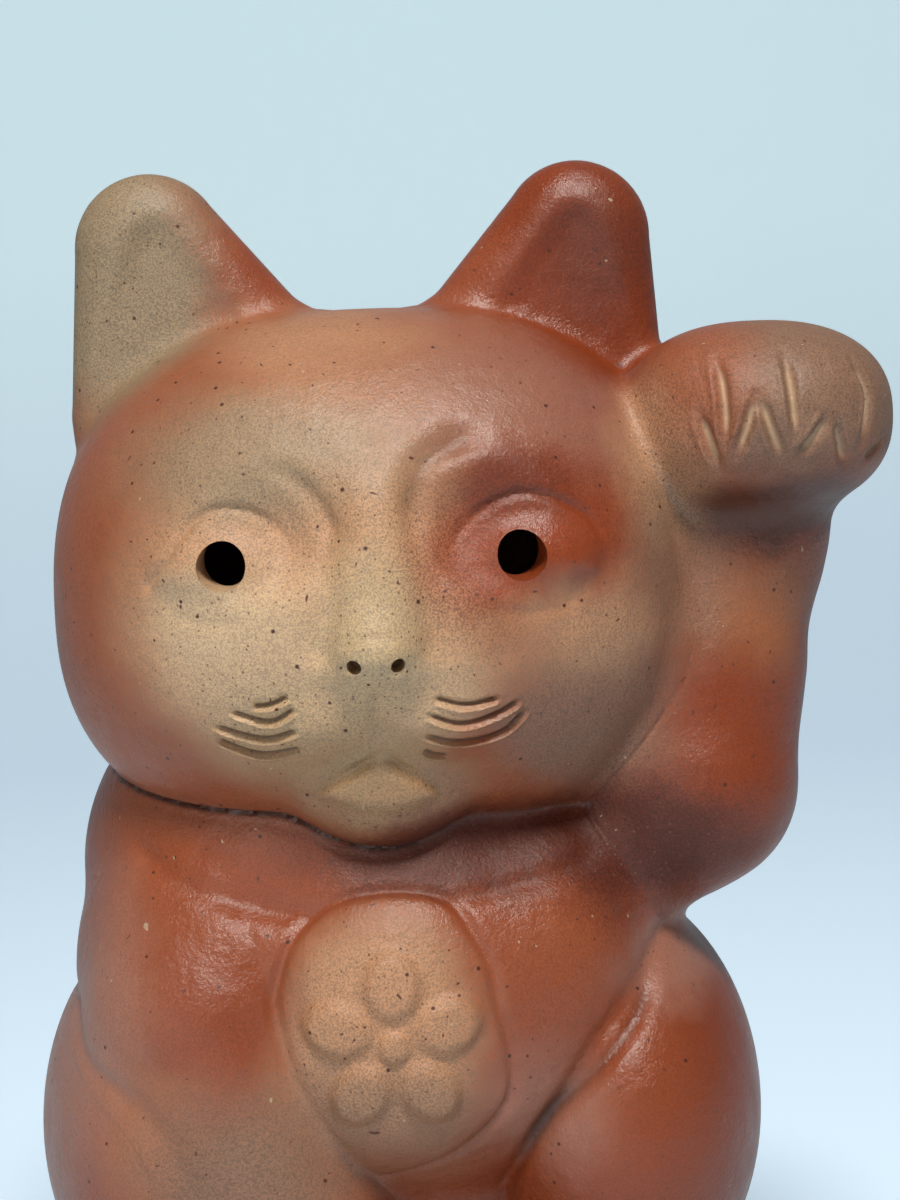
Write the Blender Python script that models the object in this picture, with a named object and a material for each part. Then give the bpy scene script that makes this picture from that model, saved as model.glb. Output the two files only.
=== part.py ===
"""Hollow stoneware lucky cat, built from the clay pieces that are luted together before firing.

Metres, +Z up. The cat faces -Y, its own left is +X, and the origin is on the floor, in the middle
of its outline from above. Sizes and places below are from the middle of the body instead.
The clay is first worked out as one blended form, a skin and a hollow, and is then parted along the
joints between the pieces, with a hairline of air in every joint.
"""

import math

import bmesh
import bpy
import numpy as np
from mathutils import Matrix, Vector

# Clay
WALL = 0.0075
JOINT_GAP = 0.0003
SEAT_DEPTH = 0.003
SKIN_CELL = 0.0045
SKIN_KEEP = 0.126
HOLLOW_CELL = 0.0065
HOLLOW_KEEP = 0.115
CUTTER_CELL = 0.0045
CORE_CELL = 0.0035
CUTTER_KEEP = 0.30
LEAST_STEEPNESS = 0.05

# Neck and seams
NECK_HEIGHT = 0.148
NECK_SLOPE = math.radians(13.0)
SEAM_DEPTH = 0.003

# Head
HEAD_CENTRE = (0.0005, -0.006, 0.1835)
HEAD_WIDTH = 0.131
HEAD_DEPTH = 0.104
HEAD_RISE = 0.0585
HEAD_DROP = 0.0505
HEAD_SQUARENESS = 2.45

# Face, measured from the middle of the head
EYE_SPREAD = 0.0275
EYE_LIFT = 0.0090
EYE_HOLE = 0.0090
EYEBALL_SIZE = (0.0285, 0.0190, 0.0186)
EYEBALL_STAND = 0.0030
SOCKET_SIZE = (0.0340, 0.0180, 0.0255)
SOCKET_DEPTH = 0.0034
SOCKET_SHIFT = (-0.0050, 0.0, 0.0075)
NOSE_TOP = (-0.0008, -0.0400, 0.0175)
NOSE_TIP = (-0.0008, -0.0462, -0.0078)
NOSE_TOP_RADIUS = 0.0085
NOSE_TIP_RADIUS = 0.0094
NOSTRIL_SPREAD = 0.0041
NOSTRIL_DROP = 0.0015
NOSTRIL_HOLE = 0.0028
NOSTRIL_DEPTH = 0.007
CHIN = (-0.0008, -0.0308, -0.0345)
CHIN_SIZE = (0.032, 0.025, 0.0225)

# Ears, measured from the middle of the head
EAR_TIP = (0.0435, 0.004, 0.0723)
EAR_OUTER_ROOT = (0.0495, 0.004, 0.0387)
EAR_INNER_ROOT = (0.0203, 0.004, 0.0507)
EAR_TIP_RADIUS = 0.0152
EAR_ROOT_RADIUS = 0.0115
EAR_THICKNESS = 0.020
PANEL_TIP = (0.0420, -0.0100, 0.0725)
PANEL_OUTER = (0.0610, -0.0100, 0.0330)
PANEL_INNER = (0.0290, -0.0100, 0.0560)
PANEL_RADIUS = 0.0065

# Chest and shoulders
CHEST = (0.004, -0.013, 0.104)
CHEST_SIZE = (0.098, 0.082, 0.084)
SHOULDER = (0.0325, -0.006, 0.109)
SHOULDER_SIZE = (0.0636, 0.078, 0.0800)
RAISED_SHOULDER = (0.0275, -0.007, 0.109)
RAISED_SHOULDER_SIZE = (0.0560, 0.078, 0.0780)
NAPE = (-0.0060, 0.003, 0.129)
NAPE_SIZE = (0.114, 0.088, 0.096)

# Rump, haunches and foot
RUMP = (0.0, 0.012, 0.064)
RUMP_SIZE = (0.104, 0.094, 0.124)
HAUNCH = (0.0430, -0.0020, 0.0775)
HAUNCH_SIZE = (0.0630, 0.098, 0.0860)
HIPS_LEAN = 0.0016
FOOT = (0.0, 0.006, 0.006)
FOOT_SIZE = (0.128, 0.106, 0.090)
FOOT_RING_HEIGHT = 0.008
FOOT_HOLE_WIDTH = 0.066
FOOT_HOLE_DEPTH = 0.050

# Raised foreleg
SHOULDER_JOINT = (0.0445, -0.010, 0.1260)
ELBOW = (0.0622, -0.014, 0.1438)
FOREARM = (0.0662, -0.010, 0.166)
WRIST = (0.0728, -0.008, 0.192)
PALM = (0.0777, -0.014, 0.213)
SHOULDER_JOINT_RADIUS = 0.0155
ELBOW_RADIUS = 0.0197
FOREARM_RADIUS = 0.0188
WRIST_RADIUS = 0.0177
ARM_WALL = 0.0065
FIST = (0.0771, -0.018, 0.2168)
FIST_SIZE = (0.0537, 0.054, 0.0386)
PAW_SQUARENESS = 2.35

# Lowered foreleg and hind paws
FORELEG_TOP = (-0.0355, -0.0270, 0.1030)
FORELEG_FOOT = (-0.006, -0.044, 0.016)
FORELEG_TOP_RADIUS = 0.0245
FORELEG_FOOT_RADIUS = 0.0175
FOREPAW = (-0.006, -0.052, 0.010)
FOREPAW_SIZE = (0.034, 0.050, 0.024)
HIND_PAW = (0.043, -0.045, 0.010)
HIND_PAW_SIZE = (0.030, 0.044, 0.024)

# Medallion
MEDALLION_WIDTH = 0.045
MEDALLION_HEIGHT = 0.054
MEDALLION_DEPTH = 0.026
MEDALLION_LIFT = 0.1035
MEDALLION_SWELL = 0.0009
MEDALLION_SQUARENESS = 2.2
PETAL_COUNT = 5
PETAL_RING = 0.0095
PETAL_LENGTH = 0.0155
PETAL_WIDTH = 0.0125
PETAL_STAND = 0.0018
BLOSSOM_HEART = 0.0080

# Tail
TAIL_RADIUS = 0.0085
TAIL_TIP_RADIUS = 0.0064
TAIL_START = 0.0098
TAIL_SWING = 0.034
TAIL_RISE = 0.034
TAIL_ROUND = 0.076
TAIL_TURN = math.radians(75.0)
TAIL_SINK = 0.001
TAIL_KNOTS = 5

# Fillets smoothed into the joins
SOFT = 0.009
MEDIUM = 0.005
CRISP = 0.0025
CREASE_ANGLE = math.radians(40.0)

# Reach of a cutter that must clear the whole cat
CLEAR = 0.3
FRONT_STEPS = 60

# Fired colours (linear) and roughness, by piece
BODY_TONE = ((0.36, 0.085, 0.035), 0.42)
CLAY_TONES = {
    "head_front": ((0.46, 0.24, 0.13), 0.52),
    "head_back": ((0.33, 0.10, 0.045), 0.45),
    "ear_right": ((0.33, 0.24, 0.16), 0.50),
    "ear_left": ((0.18, 0.045, 0.028), 0.40),
    "raised_paw": ((0.27, 0.16, 0.10), 0.55),
    "chest_medallion": ((0.45, 0.21, 0.11), 0.60),
}


class Ball:
    """An ellipsoid of clay, squarer than a sphere when squareness is over 2."""

    def __init__(self, centre, size, blend, squareness=2.0, drop=None):
        self.centre = np.array(centre)
        self.half = np.array(size) / 2.0
        self.drop = self.half[2] if drop is None else drop
        self.blend = blend
        self.squareness = squareness

    def grown(self, growth):
        ball = Ball(self.centre, (self.half + growth) * 2.0, self.blend, self.squareness)
        ball.drop = self.drop + growth
        return ball

    def reach(self, points):
        local = points - self.centre
        down = local[:, 2] < 0.0
        x = np.abs(local[:, 0]) / self.half[0]
        y = np.abs(local[:, 1]) / self.half[1]
        z = np.abs(local[:, 2]) / np.where(down, self.drop, self.half[2])
        power = self.squareness
        front = (x ** power + z ** power) ** (2.0 / power)
        return np.sqrt(front + y ** 2), local

    def distance(self, points):
        share, local = self.reach(points)
        share = np.maximum(share, 1e-6)
        return np.linalg.norm(local, axis=1) * (1.0 - 1.0 / share)

    def add_to(self, bm):
        made = bmesh.ops.create_icosphere(bm, subdivisions=3, radius=1.0)
        for vert in made["verts"]:
            ray = np.array([vert.co]) * self.half.min() + self.centre
            share = self.reach(ray)[0][0]
            vert.co = Vector(self.centre + (ray[0] - self.centre) / share)


class Limb:
    """A tapered round-ended roll of clay between two points, flattened front to back by depth."""

    def __init__(self, start, end, start_radius, end_radius, blend, depth=1.0):
        self.start = np.array(start)
        self.end = np.array(end)
        self.radii = (start_radius, end_radius)
        self.blend = blend
        self.depth = depth

    def grown(self, growth):
        first, last = self.radii
        stretch = (first * self.depth + growth) / (first + growth)
        return Limb(self.start, self.end, first + growth, last + growth, self.blend, stretch)

    def distance(self, points):
        squash = np.array([1.0, 1.0 / self.depth, 1.0])
        start = self.start * squash
        axis = self.end * squash - start
        local = points * squash - start
        length = np.linalg.norm(axis)
        first, last = self.radii
        along = local @ axis / length
        aside = np.sqrt(np.maximum((local ** 2).sum(axis=1) - along ** 2, 0.0))
        taper = (first - last) / length
        lean = math.sqrt(max(1.0 - taper ** 2, 1e-6))
        shift = along - aside * taper / lean
        share = np.clip(shift / length, 0.0, 1.0)
        near = np.hypot(aside, along - share * length)
        return (near - (first + (last - first) * share)) * min(self.depth, 1.0)

    def add_to(self, bm):
        wrap_spheres(bm, (self.start, self.end), self.radii, self.depth)


class Slab:
    """A rounded triangle of clay standing across the head, for an ear."""

    def __init__(self, corners, radii, blend, depth):
        self.corners = [np.array(corner) for corner in corners]
        self.radii = radii
        self.blend = blend
        self.depth = depth

    def grown(self, growth):
        thick = self.radii[0] * self.depth
        depth = (thick + growth) / (self.radii[0] + growth)
        return Slab(self.corners, [radius + growth for radius in self.radii], self.blend, depth)

    def distance(self, points):
        squash = np.array([1.0, 1.0 / self.depth, 1.0])
        a, b, c = [corner * squash for corner in self.corners]
        local = points * squash
        normal = np.cross(b - a, c - a)
        frame = np.linalg.inv(np.column_stack((b - a, c - a, normal)))
        share = (local - a) @ frame.T
        best = np.full(len(points), np.inf)
        inside = (share[:, 0] >= 0.0) & (share[:, 1] >= 0.0) & (share[:, 0] + share[:, 1] <= 1.0)
        ra, rb, rc = self.radii
        thick = ra + (rb - ra) * share[:, 0] + (rc - ra) * share[:, 1]
        face = np.abs(share[:, 2]) * np.linalg.norm(normal) - thick
        best[inside] = face[inside]
        edges = ((a, b, ra, rb), (b, c, rb, rc), (c, a, rc, ra))
        for start, end, first, last in edges:
            axis = end - start
            reach = np.clip((local - start) @ axis / (axis @ axis), 0.0, 1.0)
            gap = np.linalg.norm(local - start - reach[:, None] * axis, axis=1)
            best = np.minimum(best, gap - (first + (last - first) * reach))
        return best * min(self.depth, 1.0)

    def add_to(self, bm):
        wrap_spheres(bm, self.corners, self.radii, self.depth)


class Dished:
    """A mass with a shallow panel pressed into its front."""

    def __init__(self, mass, panel):
        self.mass = mass
        self.panel = panel
        self.blend = mass.blend

    def grown(self, growth):
        return Dished(self.mass.grown(growth), self.panel)

    def distance(self, points):
        pressed = smooth_min(-self.mass.distance(points), self.panel.distance(points),
                             self.panel.blend)
        return -pressed

    def add_to(self, bm):
        self.mass.add_to(bm)


def wrap_spheres(bm, centres, radii, depth):
    """A tight skin round a few spheres, flattened front to back by depth."""
    for centre, radius in zip(centres, radii):
        place = Matrix.Translation(centre) @ Matrix.Diagonal((1.0, depth, 1.0, 1.0))
        bmesh.ops.create_icosphere(bm, subdivisions=3, radius=radius, matrix=place)
    hull = bmesh.ops.convex_hull(bm, input=bm.verts[:])
    loose = [item for item in hull["geom_interior"] if isinstance(item, bmesh.types.BMVert)]
    bmesh.ops.delete(bm, geom=loose, context="VERTS")


def smooth_min(first, second, blend):
    """The nearer of two distances, with a fillet where they are alike."""
    share = np.clip(0.5 + 0.5 * (second - first) / blend, 0.0, 1.0)
    return second + (first - second) * share - blend * share * (1.0 - share)


def blended(masses, hollows=(), raised=()):
    """The distance to masses pressed into one, less thumbed hollows, with lumps raised in those."""
    def distance(points):
        result = masses[0].distance(points)
        for mass in masses[1:]:
            result = smooth_min(result, mass.distance(points), mass.blend)
        for hollow in hollows:
            result = -smooth_min(-result, hollow.distance(points), hollow.blend)
        for lump in raised:
            result = smooth_min(result, lump.distance(points), lump.blend)
        return result
    return distance


def on_side(point, side):
    return (point[0] * side, point[1], point[2])


def on_head(offset):
    return np.array(HEAD_CENTRE) + np.array(offset)


def skull():
    size = (HEAD_WIDTH, HEAD_DEPTH, HEAD_RISE * 2.0)
    return Ball(HEAD_CENTRE, size, SOFT, HEAD_SQUARENESS, HEAD_DROP)


def eye_centre(side):
    """A point on the middle of the eye, on the bare skull."""
    across = EYE_SPREAD / (HEAD_WIDTH / 2.0)
    up = EYE_LIFT / HEAD_RISE
    share = across ** HEAD_SQUARENESS + up ** HEAD_SQUARENESS
    forward = HEAD_DEPTH / 2.0 * math.sqrt(1.0 - share ** (2.0 / HEAD_SQUARENESS))
    return on_head((side * EYE_SPREAD, -forward, EYE_LIFT))


def nose():
    return Limb(on_head(NOSE_TOP), on_head(NOSE_TIP), NOSE_TOP_RADIUS, NOSE_TIP_RADIUS, MEDIUM)


def chin():
    return Ball(on_head(CHIN), CHIN_SIZE, MEDIUM)


def eye_socket(side):
    """The hollow between an eye, its brow and the bridge of the nose."""
    out = SOCKET_SIZE[1] / 2.0 - SOCKET_DEPTH
    centre = eye_centre(side) + np.array(on_side(SOCKET_SHIFT, side))
    return Ball(centre + np.array((0.0, -out, 0.0)), SOCKET_SIZE, MEDIUM)


def eyeball(side):
    back = SOCKET_DEPTH + EYEBALL_SIZE[1] / 2.0 - EYEBALL_STAND
    return Ball(eye_centre(side) + np.array((0.0, back, 0.0)), EYEBALL_SIZE, CRISP)


def ear(side):
    corners = [on_head(on_side(corner, side)) for corner in (EAR_TIP, EAR_OUTER_ROOT, EAR_INNER_ROOT)]
    radii = (EAR_TIP_RADIUS, EAR_ROOT_RADIUS, EAR_ROOT_RADIUS)
    blade = Slab(corners, radii, MEDIUM, EAR_THICKNESS / 2.0 / EAR_TIP_RADIUS)
    return Dished(blade, ear_panel(side))


def ear_panel(side):
    """The flat triangle pressed into the front of an ear, inside its rounded rim."""
    corners = [on_head(on_side(corner, side)) for corner in (PANEL_TIP, PANEL_OUTER, PANEL_INNER)]
    return Slab(corners, (PANEL_RADIUS,) * len(corners), CRISP, 1.0)


def chest():
    return Ball(CHEST, CHEST_SIZE, MEDIUM)


def shoulders():
    """The lowered one first; the raised one is drawn in and up by its foreleg."""
    lowered = Ball(on_side(SHOULDER, -1.0), SHOULDER_SIZE, CRISP)
    return [lowered, Ball(RAISED_SHOULDER, RAISED_SHOULDER_SIZE, CRISP)]


def rump():
    return Ball(RUMP, RUMP_SIZE, SOFT)


def foot():
    return Ball(FOOT, FOOT_SIZE, SOFT)


def torso():
    """Neck, rump, foot, shoulders and chest."""
    nape = Ball(NAPE, NAPE_SIZE, CRISP)
    return [nape, rump(), foot()] + shoulders() + [chest()]


def haunches():
    """The two haunches, shifted a little to one side by the hand that modelled them."""
    lean = np.array((HIPS_LEAN, 0.0, 0.0))
    return [Ball(on_side(HAUNCH, side) + lean, HAUNCH_SIZE, CRISP) for side in (-1.0, 1.0)]


def raised_foreleg():
    joints = (SHOULDER_JOINT, ELBOW, FOREARM, WRIST, PALM)
    radii = (SHOULDER_JOINT_RADIUS, ELBOW_RADIUS, FOREARM_RADIUS, WRIST_RADIUS, WRIST_RADIUS)
    lengths = zip(joints, joints[1:], radii, radii[1:])
    return [Limb(start, end, first, last, SOFT) for start, end, first, last in lengths]


def raised_paw():
    return Ball(FIST, FIST_SIZE, MEDIUM, PAW_SQUARENESS)


def lowered_foreleg():
    leg = Limb(FORELEG_TOP, FORELEG_FOOT, FORELEG_TOP_RADIUS, FORELEG_FOOT_RADIUS, MEDIUM)
    return [leg, Ball(FOREPAW, FOREPAW_SIZE, MEDIUM, PAW_SQUARENESS)]


def hind_paw(side):
    return Ball(on_side(HIND_PAW, side), HIND_PAW_SIZE, CRISP, PAW_SQUARENESS)


def chest_front(height):
    """How far forward the chest stands at a height, on the middle line."""
    front = chest()
    up = (height - front.centre[2]) / front.half[2]
    return front.centre[1] - front.half[1] * math.sqrt(1.0 - up ** 2)


def medallion_front(x, z):
    """How far forward the medallion's face stands, found by stepping in from the front."""
    distance = blended([chest(), medallion_swell()])
    y = -CLEAR
    for step in range(FRONT_STEPS):
        y += distance(np.array([[x, y, z]]))[0]
    return y


def medallion_swell():
    front = chest_front(MEDALLION_LIFT) - MEDALLION_SWELL
    centre = (0.0, front + MEDALLION_DEPTH / 2.0, MEDALLION_LIFT)
    size = (MEDALLION_WIDTH, MEDALLION_DEPTH, MEDALLION_HEIGHT)
    return Ball(centre, size, CRISP, MEDALLION_SQUARENESS)


def tail_masses():
    """The tail leaves the rump at the back and swings up round the left hip."""
    back = rump()
    knots = []
    radii = []
    for index in range(TAIL_KNOTS):
        share = index / (TAIL_KNOTS - 1)
        x = TAIL_SWING * math.sin(share * TAIL_TURN)
        y = back.half[1] * math.sqrt(1.0 - (x / TAIL_ROUND) ** 2) - TAIL_SINK
        z = TAIL_START + TAIL_RISE * (1.0 - math.cos(share * TAIL_TURN))
        knots.append((x, back.centre[1] + y, z))
        radii.append(TAIL_RADIUS + (TAIL_TIP_RADIUS - TAIL_RADIUS) * share)
    lengths = zip(knots, knots[1:], radii, radii[1:])
    return [Limb(start, end, first, last, CRISP) for start, end, first, last in lengths]


def rough_skin(name, masses, growth, cell):
    """One closed skin over a heap of masses, each grown a little, joined in voxels."""
    mesh = bpy.data.meshes.new(name)
    heap = bmesh.new()
    for mass in masses:
        lump = bmesh.new()
        mass.grown(growth).add_to(lump)
        lump.to_mesh(mesh)
        lump.free()
        heap.from_mesh(mesh)
    item = placed(name, heap)
    joined = item.modifiers.new("Join", "REMESH")
    joined.mode = "VOXEL"
    joined.voxel_size = cell
    bake(item)
    relax(item.data)
    return item


def true_skin(name, masses, growth, cell, keep, distance):
    """A skin whose points all lie on the blended form, with fewer faces where it is flat."""
    item = rough_skin(name, masses, growth, cell)
    ease_on_to(item.data, distance, growth)
    relax(item.data)
    ease_on_to(item.data, distance, growth)
    thin(item, keep)
    return item


def thin(item, keep):
    """Keep only a share of the faces, and smooth away any fold that this leaves."""
    thinned = item.modifiers.new("Thin", "DECIMATE")
    thinned.ratio = keep
    thinned.use_collapse_triangulate = True
    bake(item)
    relax(item.data)


def bake(item):
    """Put the result of an object's modifiers into its mesh."""
    bpy.context.view_layer.update()
    graph = bpy.context.evaluated_depsgraph_get()
    mesh = bpy.data.meshes.new_from_object(item.evaluated_get(graph), depsgraph=graph)
    item.modifiers.clear()
    old = item.data
    item.data = mesh
    bpy.data.meshes.remove(old)


def relax(mesh):
    bm = bmesh.new()
    bm.from_mesh(mesh)
    bmesh.ops.smooth_vert(bm, verts=bm.verts, factor=0.5, use_axis_x=True, use_axis_y=True,
                          use_axis_z=True)
    bm.to_mesh(mesh)
    bm.free()


def ease_on_to(mesh, distance, growth):
    """Slide each point along the slope of the form until it lies on its surface."""
    points = np.empty(len(mesh.vertices) * 3)
    mesh.vertices.foreach_get("co", points)
    points = points.reshape(-1, 3)
    probe = WALL / 150.0
    for step in range(3):
        here = distance(points) - growth
        slope = np.empty_like(points)
        for axis in range(3):
            offset = np.zeros(3)
            offset[axis] = probe
            slope[:, axis] = (distance(points + offset) - growth - here) / probe
        steepness = np.maximum((slope ** 2).sum(axis=1), LEAST_STEEPNESS)
        points -= slope * (here / steepness)[:, None]
    mesh.vertices.foreach_set("co", points.ravel())
    mesh.update()


def outer_form():
    """The whole cat as one solid lump: its masses and the distance to its skin."""
    masses = [skull(), nose(), chin(), ear(-1.0), ear(1.0)] + torso() + haunches()
    masses += raised_foreleg() + [raised_paw()] + lowered_foreleg()
    masses += [hind_paw(-1.0), hind_paw(1.0), medallion_swell()] + tail_masses()
    hollows = [eye_socket(-1.0), eye_socket(1.0)]
    return masses, blended(masses, hollows, [eyeball(-1.0), eyeball(1.0)])


def body_hollow_form():
    """What is left open inside: head, torso and haunches, running out through the foot."""
    masses = [skull()] + torso() + haunches()
    for mass in masses:
        mass.blend = SOFT
    return masses, blended(masses)


def arm_hollow_form():
    masses = raised_foreleg() + [raised_paw()]
    return masses, blended(masses)


def box(name, low, high):
    """A plain cutting block between two corners."""
    bm = bmesh.new()
    centre = (np.array(low) + np.array(high)) / 2.0
    size = np.array(high) - np.array(low)
    place = Matrix.Translation(centre) @ Matrix.Diagonal((*size, 1.0))
    bmesh.ops.create_cube(bm, size=1.0, matrix=place)
    return placed(name, bm)


def placed(name, bm):
    """Turn a bmesh into an object in the scene."""
    mesh = bpy.data.meshes.new(name)
    bm.to_mesh(mesh)
    bm.free()
    item = bpy.data.objects.new(name, mesh)
    bpy.context.collection.objects.link(item)
    return item


def cut(item, cutter, operation):
    """Cut one closed mesh with another.

    Where old joint faces end on a new one, the exact solver leaves specks and open edges and can lose
    a whole half, so every cut is made with the manifold solver, which takes closed meshes only.
    """
    joined = item.modifiers.new("Cut", "BOOLEAN")
    joined.operation = operation
    joined.solver = "MANIFOLD"
    joined.object = cutter
    bake(item)


def copy_of(item, name):
    twin = bpy.data.objects.new(name, item.data.copy())
    bpy.context.collection.objects.link(twin)
    return twin


def discard(*items):
    for item in items:
        bpy.data.objects.remove(item)


def bed(mass, gap):
    """The buried face that an applied piece is luted on to: its carrier's form, a little way in."""
    bm = bmesh.new()
    mass.grown(-SEAT_DEPTH - gap).add_to(bm)
    return placed("bed", bm)


def swollen(item, growth):
    """A copy of a cutting tool with every point moved out along its normal."""
    twin = copy_of(item, item.name + "_swollen")
    for vert in twin.data.vertices:
        vert.co = vert.co + vert.normal * growth
    return twin


def part_off(clay, name, tool, carriers):
    """Lift an applied piece off the clay, with a shallow bite of whatever carries it."""
    tools = [tool, swollen(tool, JOINT_GAP)]
    for cutter, gap in zip(tools, (0.0, JOINT_GAP)):
        for carrier in carriers:
            seat = bed(carrier, gap)
            cut(cutter, seat, "DIFFERENCE")
            discard(seat)
    piece = copy_of(clay, name)
    cut(piece, tools[0], "INTERSECT")
    cut(clay, tools[1], "DIFFERENCE")
    discard(*tools)
    return piece


def territory(masses):
    """The clay that belongs to an applied piece, with the fillet round its foot."""
    item = rough_skin("territory", masses, SEAT_DEPTH, CUTTER_CELL)
    thin(item, CUTTER_KEEP)
    return item


def oval():
    """A straight oval cutter through the chest, for the medallion's outline."""
    bm = bmesh.new()
    out = chest_front(MEDALLION_LIFT)
    place = Matrix.Translation((0.0, out, MEDALLION_LIFT)) @ Matrix.Rotation(math.pi / 2.0, 4, "X")
    place = place @ Matrix.Diagonal((MEDALLION_WIDTH / 2.0, MEDALLION_HEIGHT / 2.0, -out, 1.0))
    bmesh.ops.create_cone(bm, cap_ends=True, segments=36, radius1=1.0, radius2=1.0, depth=1.0, matrix=place)
    return placed("oval", bm)


def split(clay, names, point, normal):
    """Part the clay on a plane; the first name goes to the side that the normal points to."""
    turn = Vector(normal).to_track_quat("Z", "Y").to_matrix().to_4x4()
    halves = []
    for name, side in zip(names, (1.0, -1.0)):
        block = box("block", (-CLEAR, -CLEAR, JOINT_GAP / 2.0), (CLEAR, CLEAR, CLEAR))
        flip = Matrix.Diagonal((1.0, side, side, 1.0))
        block.data.transform(Matrix.Translation(point) @ turn @ flip)
        half = copy_of(clay, name)
        cut(half, block, "INTERSECT")
        discard(block)
        halves.append(half)
    discard(clay)
    return halves


def clay_shell():
    """The cat as one hollow shell, open at the foot and standing on the floor."""
    masses, distance = outer_form()
    clay = true_skin("clay", masses, 0.0, SKIN_CELL, SKIN_KEEP, distance)
    ease_on_to(clay.data, distance, 0.0)
    masses, distance = body_hollow_form()
    hollow = true_skin("hollow", masses, -WALL, HOLLOW_CELL, HOLLOW_KEEP, distance)
    floor = box("floor", (-CLEAR, -CLEAR, -CLEAR), (CLEAR, CLEAR, 0.0))
    cut(clay, floor, "DIFFERENCE")
    cut(clay, hollow, "DIFFERENCE")
    masses, distance = arm_hollow_form()
    core = true_skin("core", masses, -ARM_WALL, CORE_CELL, CUTTER_KEEP, distance)
    cut(clay, core, "DIFFERENCE")
    discard(core)
    return clay, hollow, floor


def foot_ring(hollow, floor):
    """A flat ring that fills the mouth of the foot, a hairline inside the wall."""
    ring = box("foot_ring", (-CLEAR, -CLEAR, 0.0), (CLEAR, CLEAR, FOOT_RING_HEIGHT))
    inner = swollen(hollow, -JOINT_GAP)
    cut(ring, inner, "INTERSECT")
    discard(inner)
    bm = bmesh.new()
    size = (FOOT_HOLE_WIDTH / 2.0, FOOT_HOLE_DEPTH / 2.0, CLEAR, 1.0)
    place = Matrix.Translation(FOOT) @ Matrix.Diagonal(size)
    bmesh.ops.create_cone(bm, cap_ends=True, segments=48, radius1=1.0, radius2=1.0, depth=1.0,
                          matrix=place)
    hole = placed("hole", bm)
    cut(ring, hole, "DIFFERENCE")
    discard(hole)
    return ring


def rod(name, start, end, radius, sides):
    """A round cutting rod between two points."""
    start = Vector(start)
    axis = Vector(end) - start
    bm = bmesh.new()
    place = Matrix.Translation(start + axis / 2.0) @ axis.to_track_quat("Z", "Y").to_matrix().to_4x4()
    bmesh.ops.create_cone(bm, cap_ends=True, segments=sides, radius1=radius, radius2=radius,
                          depth=axis.length, matrix=place)
    return placed(name, bm)


def pierce_face(face):
    """Push the two eye holes through the wall and poke the two nostrils into the nose."""
    for side in (-1.0, 1.0):
        eye = eye_centre(side)
        reach = np.array((0.0, WALL * 3.0, 0.0))
        hole = rod("eye", eye - reach, eye + reach, EYE_HOLE / 2.0, 20)
        cut(face, hole, "DIFFERENCE")
        discard(hole)
        tip = on_head(NOSE_TIP) + np.array((side * NOSTRIL_SPREAD, -NOSE_TIP_RADIUS, -NOSTRIL_DROP))
        reach = np.array((0.0, NOSTRIL_DEPTH / 2.0, 0.0))
        hole = rod("nostril", tip - reach, tip + reach, NOSTRIL_HOLE / 2.0, 8)
        cut(face, hole, "DIFFERENCE")
        discard(hole)


def raise_blossom(medallion):
    """Press a five-petalled plum blossom up out of the medallion, in soft low relief."""
    lumps = [(0.0, 0.0, BLOSSOM_HEART, BLOSSOM_HEART)]
    for index in range(PETAL_COUNT):
        turn = math.tau * index / PETAL_COUNT
        lumps.append((turn, PETAL_RING, PETAL_WIDTH, PETAL_LENGTH))
    for turn, reach, width, length in lumps:
        bm = bmesh.new()
        x = reach * math.sin(turn)
        z = MEDALLION_LIFT + reach * math.cos(turn)
        here = medallion_front(x, z)
        lean = (medallion_front(x, z + PETAL_STAND) - here) / PETAL_STAND
        turned = (medallion_front(x + PETAL_STAND, z) - here) / PETAL_STAND
        place = Matrix.Translation((x, here, z)) @ Matrix.Rotation(-math.atan(lean), 4, "X")
        place = place @ Matrix.Rotation(math.atan(turned), 4, "Z") @ Matrix.Rotation(turn, 4, "Y")
        place = place @ Matrix.Diagonal((width / 2.0, PETAL_STAND, length / 2.0, 1.0))
        bmesh.ops.create_uvsphere(bm, u_segments=14, v_segments=8, radius=1.0, matrix=place)
        petal = placed("petal", bm)
        cut(medallion, petal, "UNION")
        discard(petal)


def sweep_crumbs(item):
    """Brush away crumbs of clay pinched off between two joints, and keep the piece itself."""
    bm = bmesh.new()
    bm.from_mesh(item.data)
    islands = []
    waiting = set(bm.verts)
    while waiting:
        front = [waiting.pop()]
        island = list(front)
        while front:
            vert = front.pop()
            for edge in vert.link_edges:
                other = edge.other_vert(vert)
                if other in waiting:
                    waiting.discard(other)
                    front.append(other)
                    island.append(other)
        islands.append(island)
    islands.sort(key=len)
    for island in islands[:-1]:
        bmesh.ops.delete(bm, geom=island, context="VERTS")
    bm.to_mesh(item.data)
    bm.free()


def fired_clay(name, colour, roughness):
    material = bpy.data.materials.new(name)
    material.use_nodes = True
    shader = material.node_tree.nodes["Principled BSDF"]
    shader.inputs["Base Color"].default_value = (*colour, 1.0)
    shader.inputs["Roughness"].default_value = roughness
    shader.inputs["Metallic"].default_value = 0.0
    return material


def finish(item, holder, material):
    """Set a piece's origin at its middle, smooth it, give it its clay and stand it on the holder."""
    item.data.name = item.name
    corners = [Vector(corner) for corner in item.bound_box]
    middle = (corners[0] + corners[6]) / 2.0
    item.data.transform(Matrix.Translation(-middle))
    item.location = middle
    item.parent = holder
    item.data.materials.clear()
    item.data.materials.append(material)
    item.data.shade_smooth()
    item.data.set_sharp_from_angle(angle=CREASE_ANGLE)


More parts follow.
